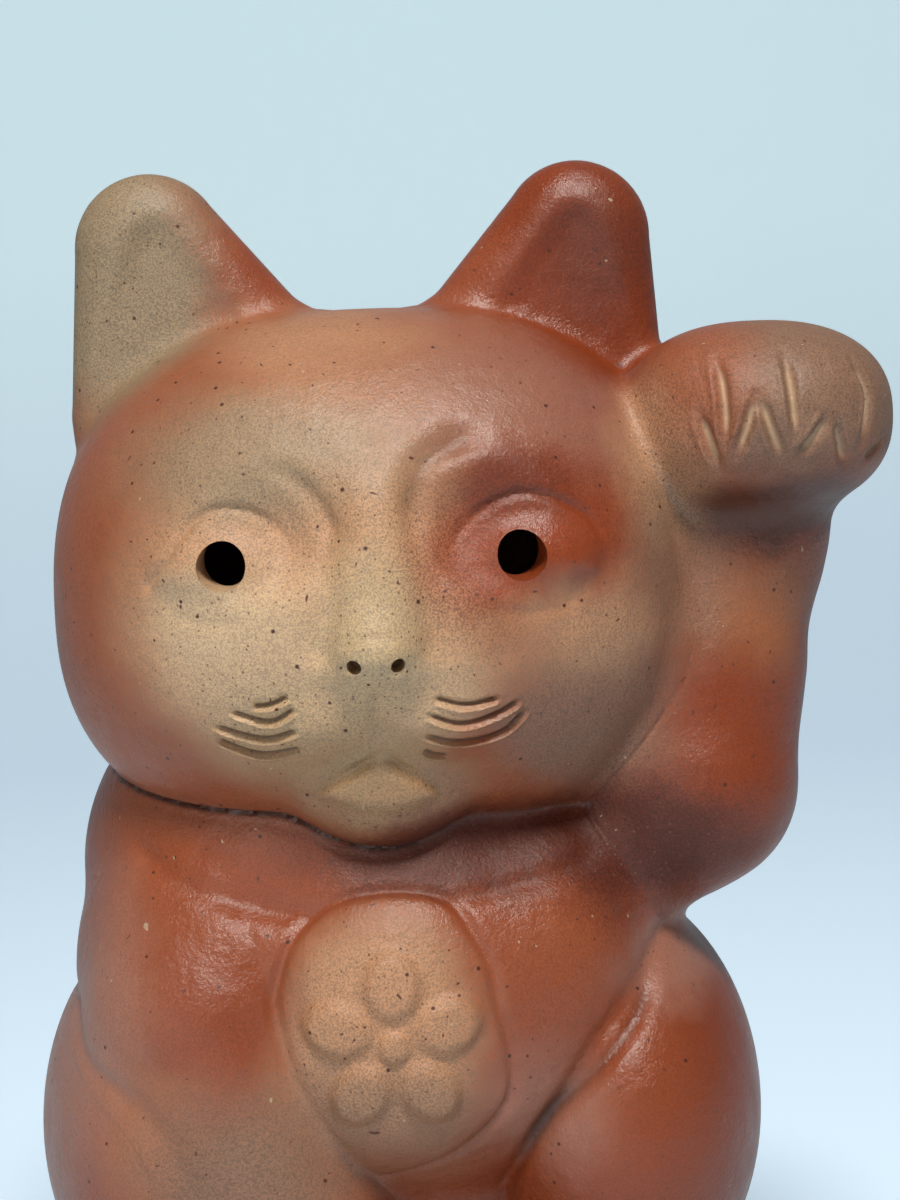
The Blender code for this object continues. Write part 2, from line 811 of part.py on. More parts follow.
def build():
    clay, hollow, floor = clay_shell()
    pieces = [foot_ring(hollow, floor)]
    for name, side in (("ear_right", -1.0), ("ear_left", 1.0)):
        pieces.append(part_off(clay, name, territory([ear(side)]), [skull()]))
    lowered_side, raised_side = shoulders()
    limb = territory(raised_foreleg() + [raised_paw()])
    arm = part_off(clay, "arm", limb, [skull(), raised_side, chest()])
    wrist = raised_foreleg()[-1].start
    fist = raised_paw().centre
    pieces += split(arm, ("raised_paw", "raised_foreleg"), wrist, fist - wrist)
    medallion = part_off(clay, "chest_medallion", oval(), [chest()])
    raise_blossom(medallion)
    pieces.append(medallion)
    limb = territory(lowered_foreleg())
    right_haunch, left_haunch = haunches()
    carriers = [chest(), lowered_side, rump(), foot(), right_haunch]
    pieces.append(part_off(clay, "lowered_foreleg", limb, carriers))
    for name, side in (("hind_paw_right", -1.0), ("hind_paw_left", 1.0)):
        pieces.append(part_off(clay, name, territory([hind_paw(side)]), [foot()] + haunches()))
    pieces.append(part_off(clay, "tail", territory(tail_masses()), [rump(), foot(), left_haunch]))
    slope = (0.0, -math.sin(NECK_SLOPE), math.cos(NECK_SLOPE))
    head, body = split(clay, ("head", "body"), (0.0, 0.0, NECK_HEIGHT), slope)
    seam = (0.0, SEAM_DEPTH, 0.0)
    back, front = split(head, ("head_back", "head_front"), seam, (0.0, 1.0, 0.0))
    pierce_face(front)
    pieces += [back, front]
    pieces += split(body, ("body_back", "body_front"), seam, (0.0, 1.0, 0.0))
    discard(hollow, floor)
    cat = bpy.data.objects.new("lucky_cat", None)
    bpy.context.collection.objects.link(cat)
    corners = [corner for piece in pieces for corner in piece.bound_box]
    for axis in (0, 1):
        reach = [corner[axis] for corner in corners]
        cat.location[axis] = -(min(reach) + max(reach)) / 2.0
    for piece in pieces:
        sweep_crumbs(piece)
        colour, roughness = CLAY_TONES.get(piece.name, BODY_TONE)
        finish(piece, cat, fired_clay(piece.name + "_clay", colour, roughness))


if __name__ == "__main__":
    for item in list(bpy.data.objects):
        bpy.data.objects.remove(item)
    build()
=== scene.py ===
"""Unglazed, flame-flashed stoneware lucky cat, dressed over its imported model.

Metres, +Z up. The forms repeat the pressed clay masses of the part at a finer grain, with the cuts
and scratches of the maker's tools, and are parted along the same joints.
"""

import math
from contextlib import contextmanager

import bmesh
import bpy
import numpy as np
from mathutils import Matrix, Vector


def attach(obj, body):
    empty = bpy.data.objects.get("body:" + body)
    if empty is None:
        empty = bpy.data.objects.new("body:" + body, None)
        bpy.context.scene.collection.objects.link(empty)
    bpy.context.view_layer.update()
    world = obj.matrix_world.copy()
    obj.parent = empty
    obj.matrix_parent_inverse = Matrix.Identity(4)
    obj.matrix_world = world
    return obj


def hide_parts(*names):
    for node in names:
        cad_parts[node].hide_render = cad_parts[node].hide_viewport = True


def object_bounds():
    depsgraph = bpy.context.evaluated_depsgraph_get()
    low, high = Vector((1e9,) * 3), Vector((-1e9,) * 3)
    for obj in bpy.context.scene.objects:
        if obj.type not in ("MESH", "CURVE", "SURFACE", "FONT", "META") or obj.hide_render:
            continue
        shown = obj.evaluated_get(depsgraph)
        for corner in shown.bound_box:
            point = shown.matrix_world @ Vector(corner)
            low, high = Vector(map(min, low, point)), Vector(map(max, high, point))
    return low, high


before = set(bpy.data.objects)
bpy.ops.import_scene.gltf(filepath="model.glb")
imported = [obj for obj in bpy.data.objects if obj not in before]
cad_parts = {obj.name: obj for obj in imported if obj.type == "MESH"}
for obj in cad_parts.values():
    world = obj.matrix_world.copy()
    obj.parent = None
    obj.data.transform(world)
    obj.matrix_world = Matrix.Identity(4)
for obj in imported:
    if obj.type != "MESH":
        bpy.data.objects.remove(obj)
CAD_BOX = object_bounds()

# Clay
WALL = 0.0075
JOINT_GAP = 0.0003
SEAT_DEPTH = 0.003
LEAST_STEEPNESS = 0.05
PROBE = WALL / 150.0

# Neck and seams
NECK_HEIGHT = 0.148
NECK_SLOPE = math.radians(13.0)
SEAM_DEPTH = 0.003
BACKWARD = (0.0, 1.0, 0.0)

# Head
HEAD_CENTRE = (0.0005, -0.006, 0.1835)
HEAD_WIDTH = 0.131
HEAD_DEPTH = 0.104
HEAD_RISE = 0.0585
HEAD_DROP = 0.0505
HEAD_SQUARENESS = 2.45

# Face, measured from the middle of the head
EYE_SPREAD = 0.0275
EYE_LIFT = 0.009
EYE_HOLE = 0.009
EYEBALL_SIZE = (0.0285, 0.019, 0.0186)
EYEBALL_STAND = 0.003
SOCKET_SIZE = (0.034, 0.018, 0.0255)
SOCKET_DEPTH = 0.0034
SOCKET_SHIFT = (-0.005, 0.0, 0.0075)
NOSE_TOP = (-0.0008, -0.04, 0.0175)
NOSE_TIP = (-0.0008, -0.0462, -0.0078)
NOSE_TOP_RADIUS = 0.0085
NOSE_TIP_RADIUS = 0.0094
NOSTRIL_SPREAD = 0.0041
NOSTRIL_DROP = 0.0015
NOSTRIL_HOLE = 0.0028
NOSTRIL_DEPTH = 0.007
EYE_POKE = (0.002, WALL * 2.5, 0.0024)
EYE_POKE_END = 1.4
EYE_SIDES = 64
NOSTRIL_POKE = (0.001, NOSTRIL_DEPTH * 0.9, 0.001)
NOSTRIL_SIDES = 24
CHIN = (-0.0008, -0.0308, -0.0345)
CHIN_SIZE = (0.032, 0.025, 0.0225)

# Ears, measured from the middle of the head: tip, outer root and inner root
EAR_CORNERS = ((0.0435, 0.004, 0.0723), (0.0495, 0.004, 0.0387), (0.0203, 0.004, 0.0507))
EAR_TIP_RADIUS = 0.0152
EAR_ROOT_RADIUS = 0.0115
EAR_THICKNESS = 0.02
PANEL_CORNERS = ((0.042, -0.01, 0.0725), (0.061, -0.01, 0.033), (0.029, -0.01, 0.056))
PANEL_RADIUS = 0.0065

# Chest and shoulders
CHEST = (0.004, -0.013, 0.104)
CHEST_SIZE = (0.098, 0.082, 0.084)
SHOULDER = (0.0325, -0.006, 0.109)
SHOULDER_SIZE = (0.0636, 0.078, 0.08)
RAISED_SHOULDER = (0.0275, -0.007, 0.109)
RAISED_SHOULDER_SIZE = (0.056, 0.078, 0.078)
NAPE = (-0.006, 0.003, 0.129)
NAPE_SIZE = (0.114, 0.088, 0.096)

# Rump, haunches and foot
RUMP = (0.0, 0.012, 0.064)
RUMP_SIZE = (0.104, 0.094, 0.124)
HAUNCH = (0.043, -0.002, 0.0775)
HAUNCH_SIZE = (0.063, 0.098, 0.086)
HIPS_LEAN = 0.0016
FOOT = (0.0, 0.006, 0.006)
FOOT_SIZE = (0.128, 0.106, 0.09)
FOOT_RING_HEIGHT = 0.008
FOOT_HOLE_WIDTH = 0.066
FOOT_HOLE_DEPTH = 0.05

# Raised foreleg: its joints from the shoulder through elbow and wrist to the palm, and their radii
RAISED_JOINTS = (
    ((0.0445, -0.01, 0.126), 0.0155),
    ((0.0622, -0.014, 0.1438), 0.0197),
    ((0.0662, -0.01, 0.166), 0.0188),
    ((0.0728, -0.008, 0.192), 0.0177),
    ((0.0777, -0.014, 0.213), 0.0177),
)
ARM_WALL = 0.0065
FIST = (0.0771, -0.018, 0.2168)
FIST_SIZE = (0.0537, 0.054, 0.0386)
PAW_SQUARENESS = 2.35

# Lowered foreleg and hind paws
FORELEG_TOP = (-0.0355, -0.027, 0.103)
FORELEG_FOOT = (-0.006, -0.044, 0.016)
FORELEG_TOP_RADIUS = 0.0245
FORELEG_FOOT_RADIUS = 0.0175
FOREPAW = (-0.006, -0.052, 0.01)
FOREPAW_SIZE = (0.034, 0.05, 0.024)
HIND_PAW = (0.043, -0.045, 0.01)
HIND_PAW_SIZE = (0.03, 0.044, 0.024)

# Medallion
MEDALLION_WIDTH = 0.045
MEDALLION_HEIGHT = 0.054
MEDALLION_DEPTH = 0.026
MEDALLION_LIFT = 0.1035
MEDALLION_SWELL = 0.0009
MEDALLION_SQUARENESS = 2.2
PETAL_COUNT = 5
PETAL_RING = 0.0095
PETAL_LENGTH = 0.0155
PETAL_WIDTH = 0.0125

# Tail
TAIL_RADIUS = 0.0085
TAIL_TIP_RADIUS = 0.0064
TAIL_START = 0.0098
TAIL_SWING = 0.034
TAIL_RISE = 0.034
TAIL_ROUND = 0.076
TAIL_TURN = math.radians(75.0)
TAIL_SINK = 0.001
TAIL_KNOTS = 5

# Fillets smoothed into the joins
SOFT = 0.009
MEDIUM = 0.005
CRISP = 0.0025
CREASE_ANGLE = math.radians(40.0)

# Reach of a cutter that must clear the whole cat
CLEAR = 0.3

# Grain of the skins, and the hair that parted pieces stand off
FINE_CELL = 0.0026
TOOL_CELL = 0.0032
HOLLOW_CELL = 0.004
CORE_CELL = 0.003
HAIRLINE = 0.00001
OVAL_SIDES = 120

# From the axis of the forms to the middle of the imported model
MIDDLE = (-0.01566, 0.00478, 0.0)

# Boxes of finer skin: least and greatest across, least and greatest height, rearmost depth
WHOLE = ((-CLEAR, CLEAR, -CLEAR, CLEAR, CLEAR),)
WORKED = (
    (-0.056, 0.056, 0.136, 0.226, -0.022),
    (0.058, CLEAR, 0.198, CLEAR, -0.012),
    (-0.032, 0.032, MEDALLION_LIFT - 0.034, MEDALLION_LIFT + 0.034, -0.03),
)
SCRATCHED = (
    (-0.034, 0.034, 0.152, 0.171, -0.03),
    (0.056, 0.099, 0.2, 0.232, -0.03),
)

# Millimetres in a metre, and metres in a millimetre and in half of one
METRE = 1000.0
MM = 0.001
HALF_MM = 0.0005

# How a mark is laid on the form: turns from knot to knot, start before the cat, steps back to the clay
ROUTE_TURNS = 6
ROUTE_START = -0.13
ROUTE_STEPS = 90
ROUTE_STRIDE = 0.9

# How a mark shapes the clay: its reach, the lip beside it, the front it stays on, and creases
STROKE_REACH = 0.004
LIP_PLACE = 1.6
LIP_BREADTH = 0.8
DOWN = (0.0, 0.0, -1.0)
FRONT_LIMIT = -15.0
FORWARD = 0.35
CREASE_REACH = 0.004
CREASE_FADE = ((0.012, -0.012), (0.01, -0.016))
CRACK_END = 0.004
PETAL_SPREAD = 1.15
PETAL_HEIGHT = 1.8
PETAL_EDGE = 0.5
HEART_WIDTH = 8.0
HEART_HEIGHT = 1.3
HEART_EDGE = 0.6

# Leaf shapes, in millimetres: two corners across and up, rise, fall, height, edge, power of the bow
LENSES = (
    # Eyes, then mouth
    (((-42, 189.4), (-14.8, 192)), 9, 5.6, 0.45, 6.4),
    (((14.6, 191.6), (42.6, 189.4)), 9.4, 6.4, 0.75, 6.4),
    (((-15.5, 150.2), (14, 149.2)), 6, 4.6, 1.3, 3.6, 0.9),
)

# Ovals, in millimetres: middle across and up, width, height, thickness, soft share, lean in degrees
PADS = (
    # Eyeballs
    ((-27.9, 192.5), 13.5, 13.5, 0.5, 1),
    ((27.2, 192.5), 13.5, 13.5, 0.5, 1),
    # Nose and the rims of its nostrils
    ((-0.6, 178), 20, 17, 1.5, 0.9),
    ((-0.6, 176.4), 16, 6.5, 0.6, 0.7),
    ((-4.7, 173.2), 4.6, 2.4, 0.5, 0.9),
    ((3.6, 172.3), 4.6, 2.4, 0.5, 0.9),
    # Cheeks
    ((-12.3, 162.5), 26, 16, 1.7, 1, 8),
    ((11.8, 161.9), 26, 16, 1.7, 1, -8),
    # Chest beside the medallion
    ((-24, 122), 34, 18, 1.4, 1, -24),
)

# Strokes of the tool, in millimetres: route across and up, width, depth, fade, tint, bluntness; a tint
# below nought paints shade into the groove
STROKES = (
    # Edges of the lids
    (((-43.7, 188), (-40.5, 191.7), (-33, 201.4), (-26.2, 203.5), (-18.8, 200.8), (-13.8, 193.8)), 1.8,
     0.9, 0.2),
    (((14.6, 193.8), (15.7, 197.5), (20.1, 201.5), (26.7, 204.2), (33.7, 203.1), (40.3, 199.3),
     (44, 192.5)), 1.8, 0.9, 0.2),
    (((-40, 186), (-34, 183.2), (-27.5, 182.6), (-21, 184.4)), 2.6, 0.3, 0.25),
    (((20, 184), (27, 182.4), (34, 183.2), (40, 186)), 2.6, 0.4, 0.25),
    # Brows, each with the ridge beside it
    (((-22.1, 211.3), (-18.5, 210.4), (-14.4, 208.5), (-11.1, 204.9), (-8.8, 201.4), (-8.1, 198.5),
     (-8.4, 195.4), (-8.8, 189.6)), 3.8, 1.1, 0.35, -0.2),
    (((-23.5, 208.1), (-17.2, 207), (-13.3, 203.8), (-11.2, 199.7), (-10.8, 193), (-11.1, 186.9)), 4.6,
     -0.5, 0.4),
    (((23.9, 214.6), (18.4, 214.8), (14.5, 213.7), (10, 210.4), (8, 205), (7.9, 199.7), (8.3, 193.1)),
     6.6, 1.8, 0.3, -0.4),
    (((14.3, 207.7), (11.6, 204.8), (10.3, 197.8), (10.4, 191.1), (10.7, 186)), 4.6, -0.4, 0.4),
    # Sides of the nose, its base, and the groove to the mouth
    (((-8.5, 195.7), (-9, 185), (-10.5, 178.2), (-10.8, 173)), 6.4, 1.2, 0.3, -0.12),
    (((8.3, 195.2), (9.5, 187.1), (10.6, 178.7), (9.8, 172.6)), 6, 1.2, 0.3, -0.12),
    (((-6.6, 177.6), (-3.1, 179.3), (0.5, 179.4), (3.6, 178.2)), 1.2, 0.25, 0.25),
    (((-0.2, 171.6), (-0.3, 166.1), (-0.1, 159.1)), 4.4, 1, 0.3),
    # Mouth
    (((0.1, 157.1), (-4.6, 154.5), (-9.3, 151.9), (-14.5, 149.4)), 2.2, 1.2, 0.2, 0, 0.25),
    (((0.1, 157.1), (3.6, 154.3), (8.1, 151.1), (12.7, 148.3)), 2.2, 1.2, 0.2, 0, 0.25),
    # Collar
    (((-51.8, 140.8), (-45.5, 136), (-38.1, 131.9), (-29.3, 128.6), (-18.9, 126.5), (-10.7, 128.2)), 4.6,
     1, 0.2, -0.3),
    (((9.5, 129.2), (16.5, 128.9), (28.1, 130.6), (37.4, 132.5), (42.9, 135.7)), 4.6, 0.8, 0.25, -0.25),
    # Fine lines on the chest
    (((21, 126.3), (32.6, 125.6), (44.8, 122.2), (52, 118.5)), 0.9, 0.18, 0.4),
    (((24.7, 124.5), (36.4, 123.7), (46.9, 120.3), (51.5, 117.4)), 0.9, 0.18, 0.4),
    (((32.3, 122.2), (42.4, 120.5), (50.2, 116.7)), 0.9, 0.18, 0.4),
    # Edge of the medallion
    (((-17.5, 96.2), (-20.2, 102.7), (-22.1, 111.4), (-20.3, 117.3), (-15.5, 125.5), (-7.9, 129.7),
     (0.6, 130.8), (8, 129.9), (12, 128.1), (15.1, 123.8), (18.7, 116.7), (19.5, 110.3), (21.6, 102),
     (22, 94.2), (20.3, 88.8), (14.4, 82.5), (6.7, 77.9), (-3, 75.5), (-10.5, 78.6)), 2.6, 0.9, 0.12),
    # Side of the chest
    (((52, 112), (49.8, 107.8), (47.4, 104.3), (42.4, 98.9), (38.8, 95.5), (33.9, 90.7), (28.7, 85.5),
     (24.3, 78.4), (21.2, 70.4)), 3.4, 1.3, 0.2, -0.5),
)

# Whiskers and claws, and the tool for each
WHISKERS = (
    ((-23.4, 167.2), (-19.9, 167.6), (-16.6, 169.1)),
    ((-28, 166.4), (-20.5, 164.4), (-15.2, 167)),
    ((-31.4, 163.6), (-22, 161.1), (-14.7, 163.3)),
    ((-31.2, 161.1), (-22.3, 157.9), (-14, 159.8)),
    ((9.6, 167.9), (15.8, 166.2), (22.4, 167)),
    ((7.7, 165.3), (14.7, 163.1), (21.4, 164), (26.1, 166.4)),
    ((7, 161.5), (14.3, 159.7), (22.3, 160.4), (27.4, 164.7)),
    ((7.5, 157.9), (9.6, 156.9), (12.1, 156.6)),
)
CLAWS = (
    ((62.1, 217.8), (63.7, 212.7), (65.8, 207)),
    ((66.2, 228.2), (66.5, 220.4), (66.7, 211.8)),
    ((72.2, 220.5), (70.5, 215), (68.7, 209.3)),
    ((72.9, 220.8), (74.9, 214.6), (77.5, 208.2)),
    ((78.7, 229), (79.2, 220.6), (79.8, 212)),
    ((86.1, 216.1), (83.3, 212.3), (80.4, 208.9)),
    ((87.7, 215.3), (88.9, 211.2), (90.1, 207)),
    ((92.4, 227), (95.1, 220.2), (93.4, 210.8)),
    ((99.2, 211.8), (97.1, 209.8), (94.6, 208)),
)
# The whisker grooves' tint below nought paints shade into them
WHISKER_TOOL = {"width": 1.15, "depth": 1.05, "fade": 0.12, "tint": -0.7, "lip": 0.6, "lip_tint": 0.6}
CLAW_TOOL = {"width": 2.1, "depth": 1.4, "fade": 0.3, "tint": 0.7, "blunt": 0.2, "lip": 0.5,
             "lip_side": (-0.8, 0.0, 0.3)}

# Clay tones
CLAY_RED = "#8b452b"
CLAY_ORANGE = "#9b5434"
BUFF = "#a06b4a"
TAN = "#bd9573"
PALE = "#cbb594"
ASH = "#968970"
OLIVE = "#a6926f"
LICHEN = "#b3a783"
# A purple-brown that partly paints sheen and the reflection along the sides, and is partly the clay's own
# tone
PLUM_AND_SHEEN = "#866059"
RUST = "#8c3d1c"
EMBER = "#823818"
DRAB = "#866a57"
# Dark red-brown of painted shade: under the right brow, in the right ear's hollow, under the jaw and
# beside the raised foreleg
PAINTED_SHADE_BROWN = "#542212"
# Pink of a painted sheen
PAINTED_SHEEN_ROSE = "#a87d6d"
# Dark brown of a painted shadow under the raised paw
PAINTED_SHADOW_BROWN = "#472412"
SCRAPED = "#c9a988"
# Painted shade for grooves and creases; along the crack under the jaw partly the dark line of the joint
# itself
CREASE_SHADE = "#35201a"
SAND_DARK = "#35231c"
SAND_PALE = "#d9c6ae"
IRON = "#4c2419"
SLAG = "#5d3021"
DUST = "#6b4a36"
CHALK = "#cdbb9c"
# Tones laid matt, with sand and dust specks; the painted shade is among them so that it shows no sheen
DRY = (TAN, PALE, ASH, OLIVE, LICHEN, DRAB, PAINTED_SHADE_BROWN)

# Clouds, grain, sheen and bumps in the clay: how far the clouds drift, then sizes and heights in metres
DRIFT = 0.016
DRIFT_SIZE = 0.024
MOTTLE_SIZE = 0.045
GRAIN_SIZE = 0.00038
SHEEN_SIZE = 0.009
LUMP_SIZE = 0.0046
LUMP_HEIGHT = 0.0007
PIT_SIZE = 0.0007
PIT_HEIGHT = 0.0003

# Specks: breadth and spacing in metres, and the share of places that hold one
IRON_SPECKS = (0.001, 0.0044, 0.45)
SLAG_SPECKS = (0.0007, 0.0024, 0.35)
DUST_SPECKS = (0.0006, 0.0013, 0.45)
CHALK_SPECKS = (0.0007, 0.0031, 0.08)

# How strongly sand, marks and the painted shade in creases, specks, sheen and bumps show
DITHER = 0.4
SAND_LEAST = 0.18
SAND_MOST = 0.34
SCRAPED_SHARE = 0.75
CREASE_SHADE_SHARE = 0.85
DUST_SHARE = 0.85
CHALK_SHARE = 0.5
SHEEN_LEAST = 0.27
SHEEN_MOST = 0.38
DRY_ROUGHNESS = 0.22
LUMP_STRENGTH = 0.55
PIT_STRENGTH = 0.6

# Where the flame and the ash went, and patches of painted shade, painted highlight and painted sheen:
# centre and radii in millimetres, tone, strength, softness
FIRE_AND_PAINTED_LIGHT = (
    ((-4, -16, 194), (58, 70, 42), BUFF, 0.6, 0.4),
    ((70, -20, 152), (30, 60, 44), EMBER, 0.85, 0.5),
    ((54, -20, 80), (38, 60, 42), EMBER, 0.95, 0.4),
    ((4, -20, 133), (44, 60, 12), EMBER, 0.8, 0.5),
    ((0, -50, 118), (70, 14, 60), CLAY_ORANGE, 0.4, 0.5),
    # Purple-brown along both sides: partly painted reflection, partly the clay's tone (this row and the
    # next)
    ((92, 30, 120), (20, 60, 80), PLUM_AND_SHEEN, 0.5, 0.6),
    ((-68, 14, 110), (14, 60, 90), PLUM_AND_SHEEN, 0.5, 0.6),
    # Tan forehead, partly a painted highlight
    ((-2, -48, 221), (24, 30, 18), TAN, 0.4, 0.7),
    # Purple-brown on the right forehead: partly painted sheen
    ((34, -44, 222), (28, 36, 20), PLUM_AND_SHEEN, 0.5, 0.6),
    ((-12, -28, 237), (20, 24, 7), TAN, 0.5, 0.7),
    ((57, -30, 210), (10, 30, 18), TAN, 0.75, 0.5),
    ((-50, -30, 196), (16, 40, 44), CLAY_ORANGE, 0.8, 0.6),
    ((-14, -60, 184), (42, 34, 30), TAN, 0.9, 0.3),
    ((-24, -60, 213), (28, 36, 13), ASH, 0.7, 0.5),
    ((-20, -64, 176), (24, 30, 16), PALE, 0.7, 0.5),
    ((0, -62, 182), (9, 26, 13), LICHEN, 0.45, 0.6),
    ((-14, -60, 159), (22, 26, 11), OLIVE, 0.45, 0.5),
    ((32, -56, 196), (23, 26, 18), RUST, 0.95, 0.35),
    # Painted shade under the right brow
    ((28, -52, 206), (13, 22, 6), PAINTED_SHADE_BROWN, 0.5, 0.7),
    # Painted highlight on the right lower lid
    ((35, -56, 182.5), (12, 22, 4), TAN, 0.4, 0.8),
    ((-30, -56, 183), (14, 20, 7), PALE, 0.7, 0.5),
    ((8, -60, 167), (12, 24, 9), PALE, 0.5, 0.6),
    ((42, -44, 161), (18, 24, 17), DRAB, 0.7, 0.4),
    # Tan on the right lower lid and cheek, partly a painted highlight
    ((43, -48, 179), (15, 24, 9), TAN, 0.6, 0.6),
    ((74, -26, 179), (13, 24, 10), BUFF, 0.6, 0.6),
    ((60, -30, 190), (10, 34, 20), DRAB, 0.6, 0.5),
    ((52, -2, 246), (26, 34, 34), EMBER, 0.97, 0.25),
    # Painted shade in the hollow of the right ear
    ((47, -8, 251), (11, 30, 14), PAINTED_SHADE_BROWN, 0.5, 0.6),
    ((-50, -6, 250), (20, 30, 30), ASH, 0.9, 0.35),
    ((0, -50, 150), (16, 26, 8), OLIVE, 0.65, 0.6),
    # Painted shade under the jaw
    ((20, -42, 136), (32, 30, 8), PAINTED_SHADE_BROWN, 0.9, 0.5),
    ((-3, -60, 106), (22, 20, 26), TAN, 0.8, 0.3),
    ((-6, -60, 84), (24, 26, 16), DRAB, 0.5, 0.5),
    # Painted sheen on the left of the chest
    ((-54, -40, 106), (9, 24, 26), PAINTED_SHEEN_ROSE, 0.7, 0.7),
    ((-44, -50, 84), (9, 24, 14), BUFF, 0.6, 0.7),
    # Painted sheen on the left haunch, the lower chest and the right haunch (this row and the next two)
    ((-66, -16, 98), (8, 34, 22), PAINTED_SHEEN_ROSE, 0.6, 0.7),
    ((27, -48, 88), (9, 20, 11), PAINTED_SHEEN_ROSE, 0.5, 0.7),
    ((57, -27, 111), (14, 20, 7), PAINTED_SHEEN_ROSE, 0.6, 0.6),
    ((-34, -52, 114), (14, 20, 14), EMBER, 0.6, 0.7),
    ((-29, -56, 78), (17, 24, 17), DRAB, 0.8, 0.6),
    # Painted shade where the raised foreleg meets the head and chest
    ((52, -32, 136), (18, 24, 13), PAINTED_SHADE_BROWN, 0.95, 0.5),
    ((84, -36, 222), (26, 44, 17), DRAB, 0.9, 0.35),
    ((64, -30, 226), (9, 30, 16), CLAY_ORANGE, 0.7, 0.6),
    # Painted shadow under the raised paw
    ((80, -22, 198), (18, 30, 8), PAINTED_SHADOW_BROWN, 0.85, 0.4),
    ((0, 70, 150), (70, 50, 60), TAN, 0.4, 0.6),
)

# Studio
SWEEP_FRONT = 1.6
SWEEP_BACK = 1.9
SWEEP_BEND = 0.9
SWEEP_TOP = 2.6
SWEEP_HALF = 2.6
SWEEP_STEPS = 24
SWEEP_FADE = 0.5
SWEEP_TONE = "#d9eff6"
SWEEP_SHADE = "#d3e6f5"
CLOUD_SIZE = 0.5
CLOUD_DEPTH = 0.1
PAPER_ROUGHNESS = 0.9
PAPER_SHEEN = 0.1
WALL_GLOW = 0.49
FLOOR_GLOW = 0.43
MIRRORED = 0.2
ROOM_TONE = "#e9f1f6"
ROOM_LEVEL = 0.19

# Lamps: name, place, aim, breadth in metres, power in watts, colour
LAMPS = (
    ("key", (0.05, -0.58, 1.07), (0.0, 0.0, 0.16), 0.26, 11.0, "#fffaf2"),
    ("fill", (-0.6, -1.0, 0.16), (0.0, 0.0, 0.12), 0.9, 4.0, "#fff3e8"),
)

# View, from the front of the head
SENSOR_HEIGHT = 24.0
NEAR_CLIP = 0.01
VIEW_PIVOT = (0.0, HEAD_CENTRE[1] - 0.002, 0.182)
VIEW_ANGLE = math.radians(33.6)
VIEW_REACH = 0.405
VIEW_PITCH = math.radians(4.0)
VIEW_YAW = math.asin(75.0 / 1985.0)
VIEW_ROLL = math.radians(2.2)


class Ball:
    """An ellipsoid of clay, squarer than a sphere when squareness is over 2."""

    def __init__(self, centre, size, blend, squareness=2.0, drop=None):
        self.centre = np.array(centre)
        self.half = np.array(size) / 2.0
        self.drop = self.half[2] if drop is None else drop
        self.blend = blend
        self.squareness = squareness

    def grown(self, growth):
        ball = Ball(self.centre, (self.half + growth) * 2.0, self.blend, self.squareness)
        ball.drop = self.drop + growth
        return ball

    def reach(self, points):
        local = points - self.centre
        down = local[:, 2] < 0.0
        x = np.abs(local[:, 0]) / self.half[0]
        y = np.abs(local[:, 1]) / self.half[1]
        z = np.abs(local[:, 2]) / np.where(down, self.drop, self.half[2])
        power = self.squareness
        front = (x ** power + z ** power) ** (2.0 / power)
        return np.sqrt(front + y ** 2), local

    def distance(self, points):
        share, local = self.reach(points)
        share = np.maximum(share, 1e-6)
        return np.linalg.norm(local, axis=1) * (1.0 - 1.0 / share)

    def add_to(self, bm):
        made = bmesh.ops.create_icosphere(bm, subdivisions=3, radius=1.0)
        for vert in made["verts"]:
            ray = np.array([vert.co]) * self.half.min() + self.centre
            share = self.reach(ray)[0][0]
            vert.co = Vector(self.centre + (ray[0] - self.centre) / share)


class Roll:
    """Round-ended clay between corners, each with its radius, flattened front to back by depth."""

    def __init__(self, corners, radii, blend, depth=1.0):
        self.corners = [np.array(corner) for corner in corners]
        self.radii = radii
        self.blend = blend
        self.depth = depth

    def grown(self, growth):
        depth = (self.radii[0] * self.depth + growth) / (self.radii[0] + growth)
        return type(self)(self.corners, [radius + growth for radius in self.radii], self.blend, depth)

    def distance(self, points):
        squash = np.array([1.0, 1.0 / self.depth, 1.0])
        corners = [corner * squash for corner in self.corners]
        return self.round_distance(points * squash, *corners) * min(self.depth, 1.0)

    def add_to(self, bm):
        """Add a tight skin round the corners."""
        for centre, radius in zip(self.corners, self.radii):
            place = Matrix.Translation(centre) @ Matrix.Diagonal((1.0, self.depth, 1.0, 1.0))
            bmesh.ops.create_icosphere(bm, subdivisions=3, radius=radius, matrix=place)
        hull = bmesh.ops.convex_hull(bm, input=bm.verts[:])
        loose = [item for item in hull["geom_interior"] if isinstance(item, bmesh.types.BMVert)]
        bmesh.ops.delete(bm, geom=loose, context="VERTS")


class Limb(Roll):
    """A tapered roll of clay between two points."""

    def round_distance(self, points, start, end):
        axis = end - start
        local = points - start
        length = np.linalg.norm(axis)
        first, last = self.radii
        along = local @ axis / length
        aside = np.sqrt(np.maximum((local ** 2).sum(axis=1) - along ** 2, 0.0))
        taper = (first - last) / length
        lean = math.sqrt(max(1.0 - taper ** 2, 1e-6))
        shift = along - aside * taper / lean
        share = np.clip(shift / length, 0.0, 1.0)
        near = np.hypot(aside, along - share * length)
        return near - (first + (last - first) * share)


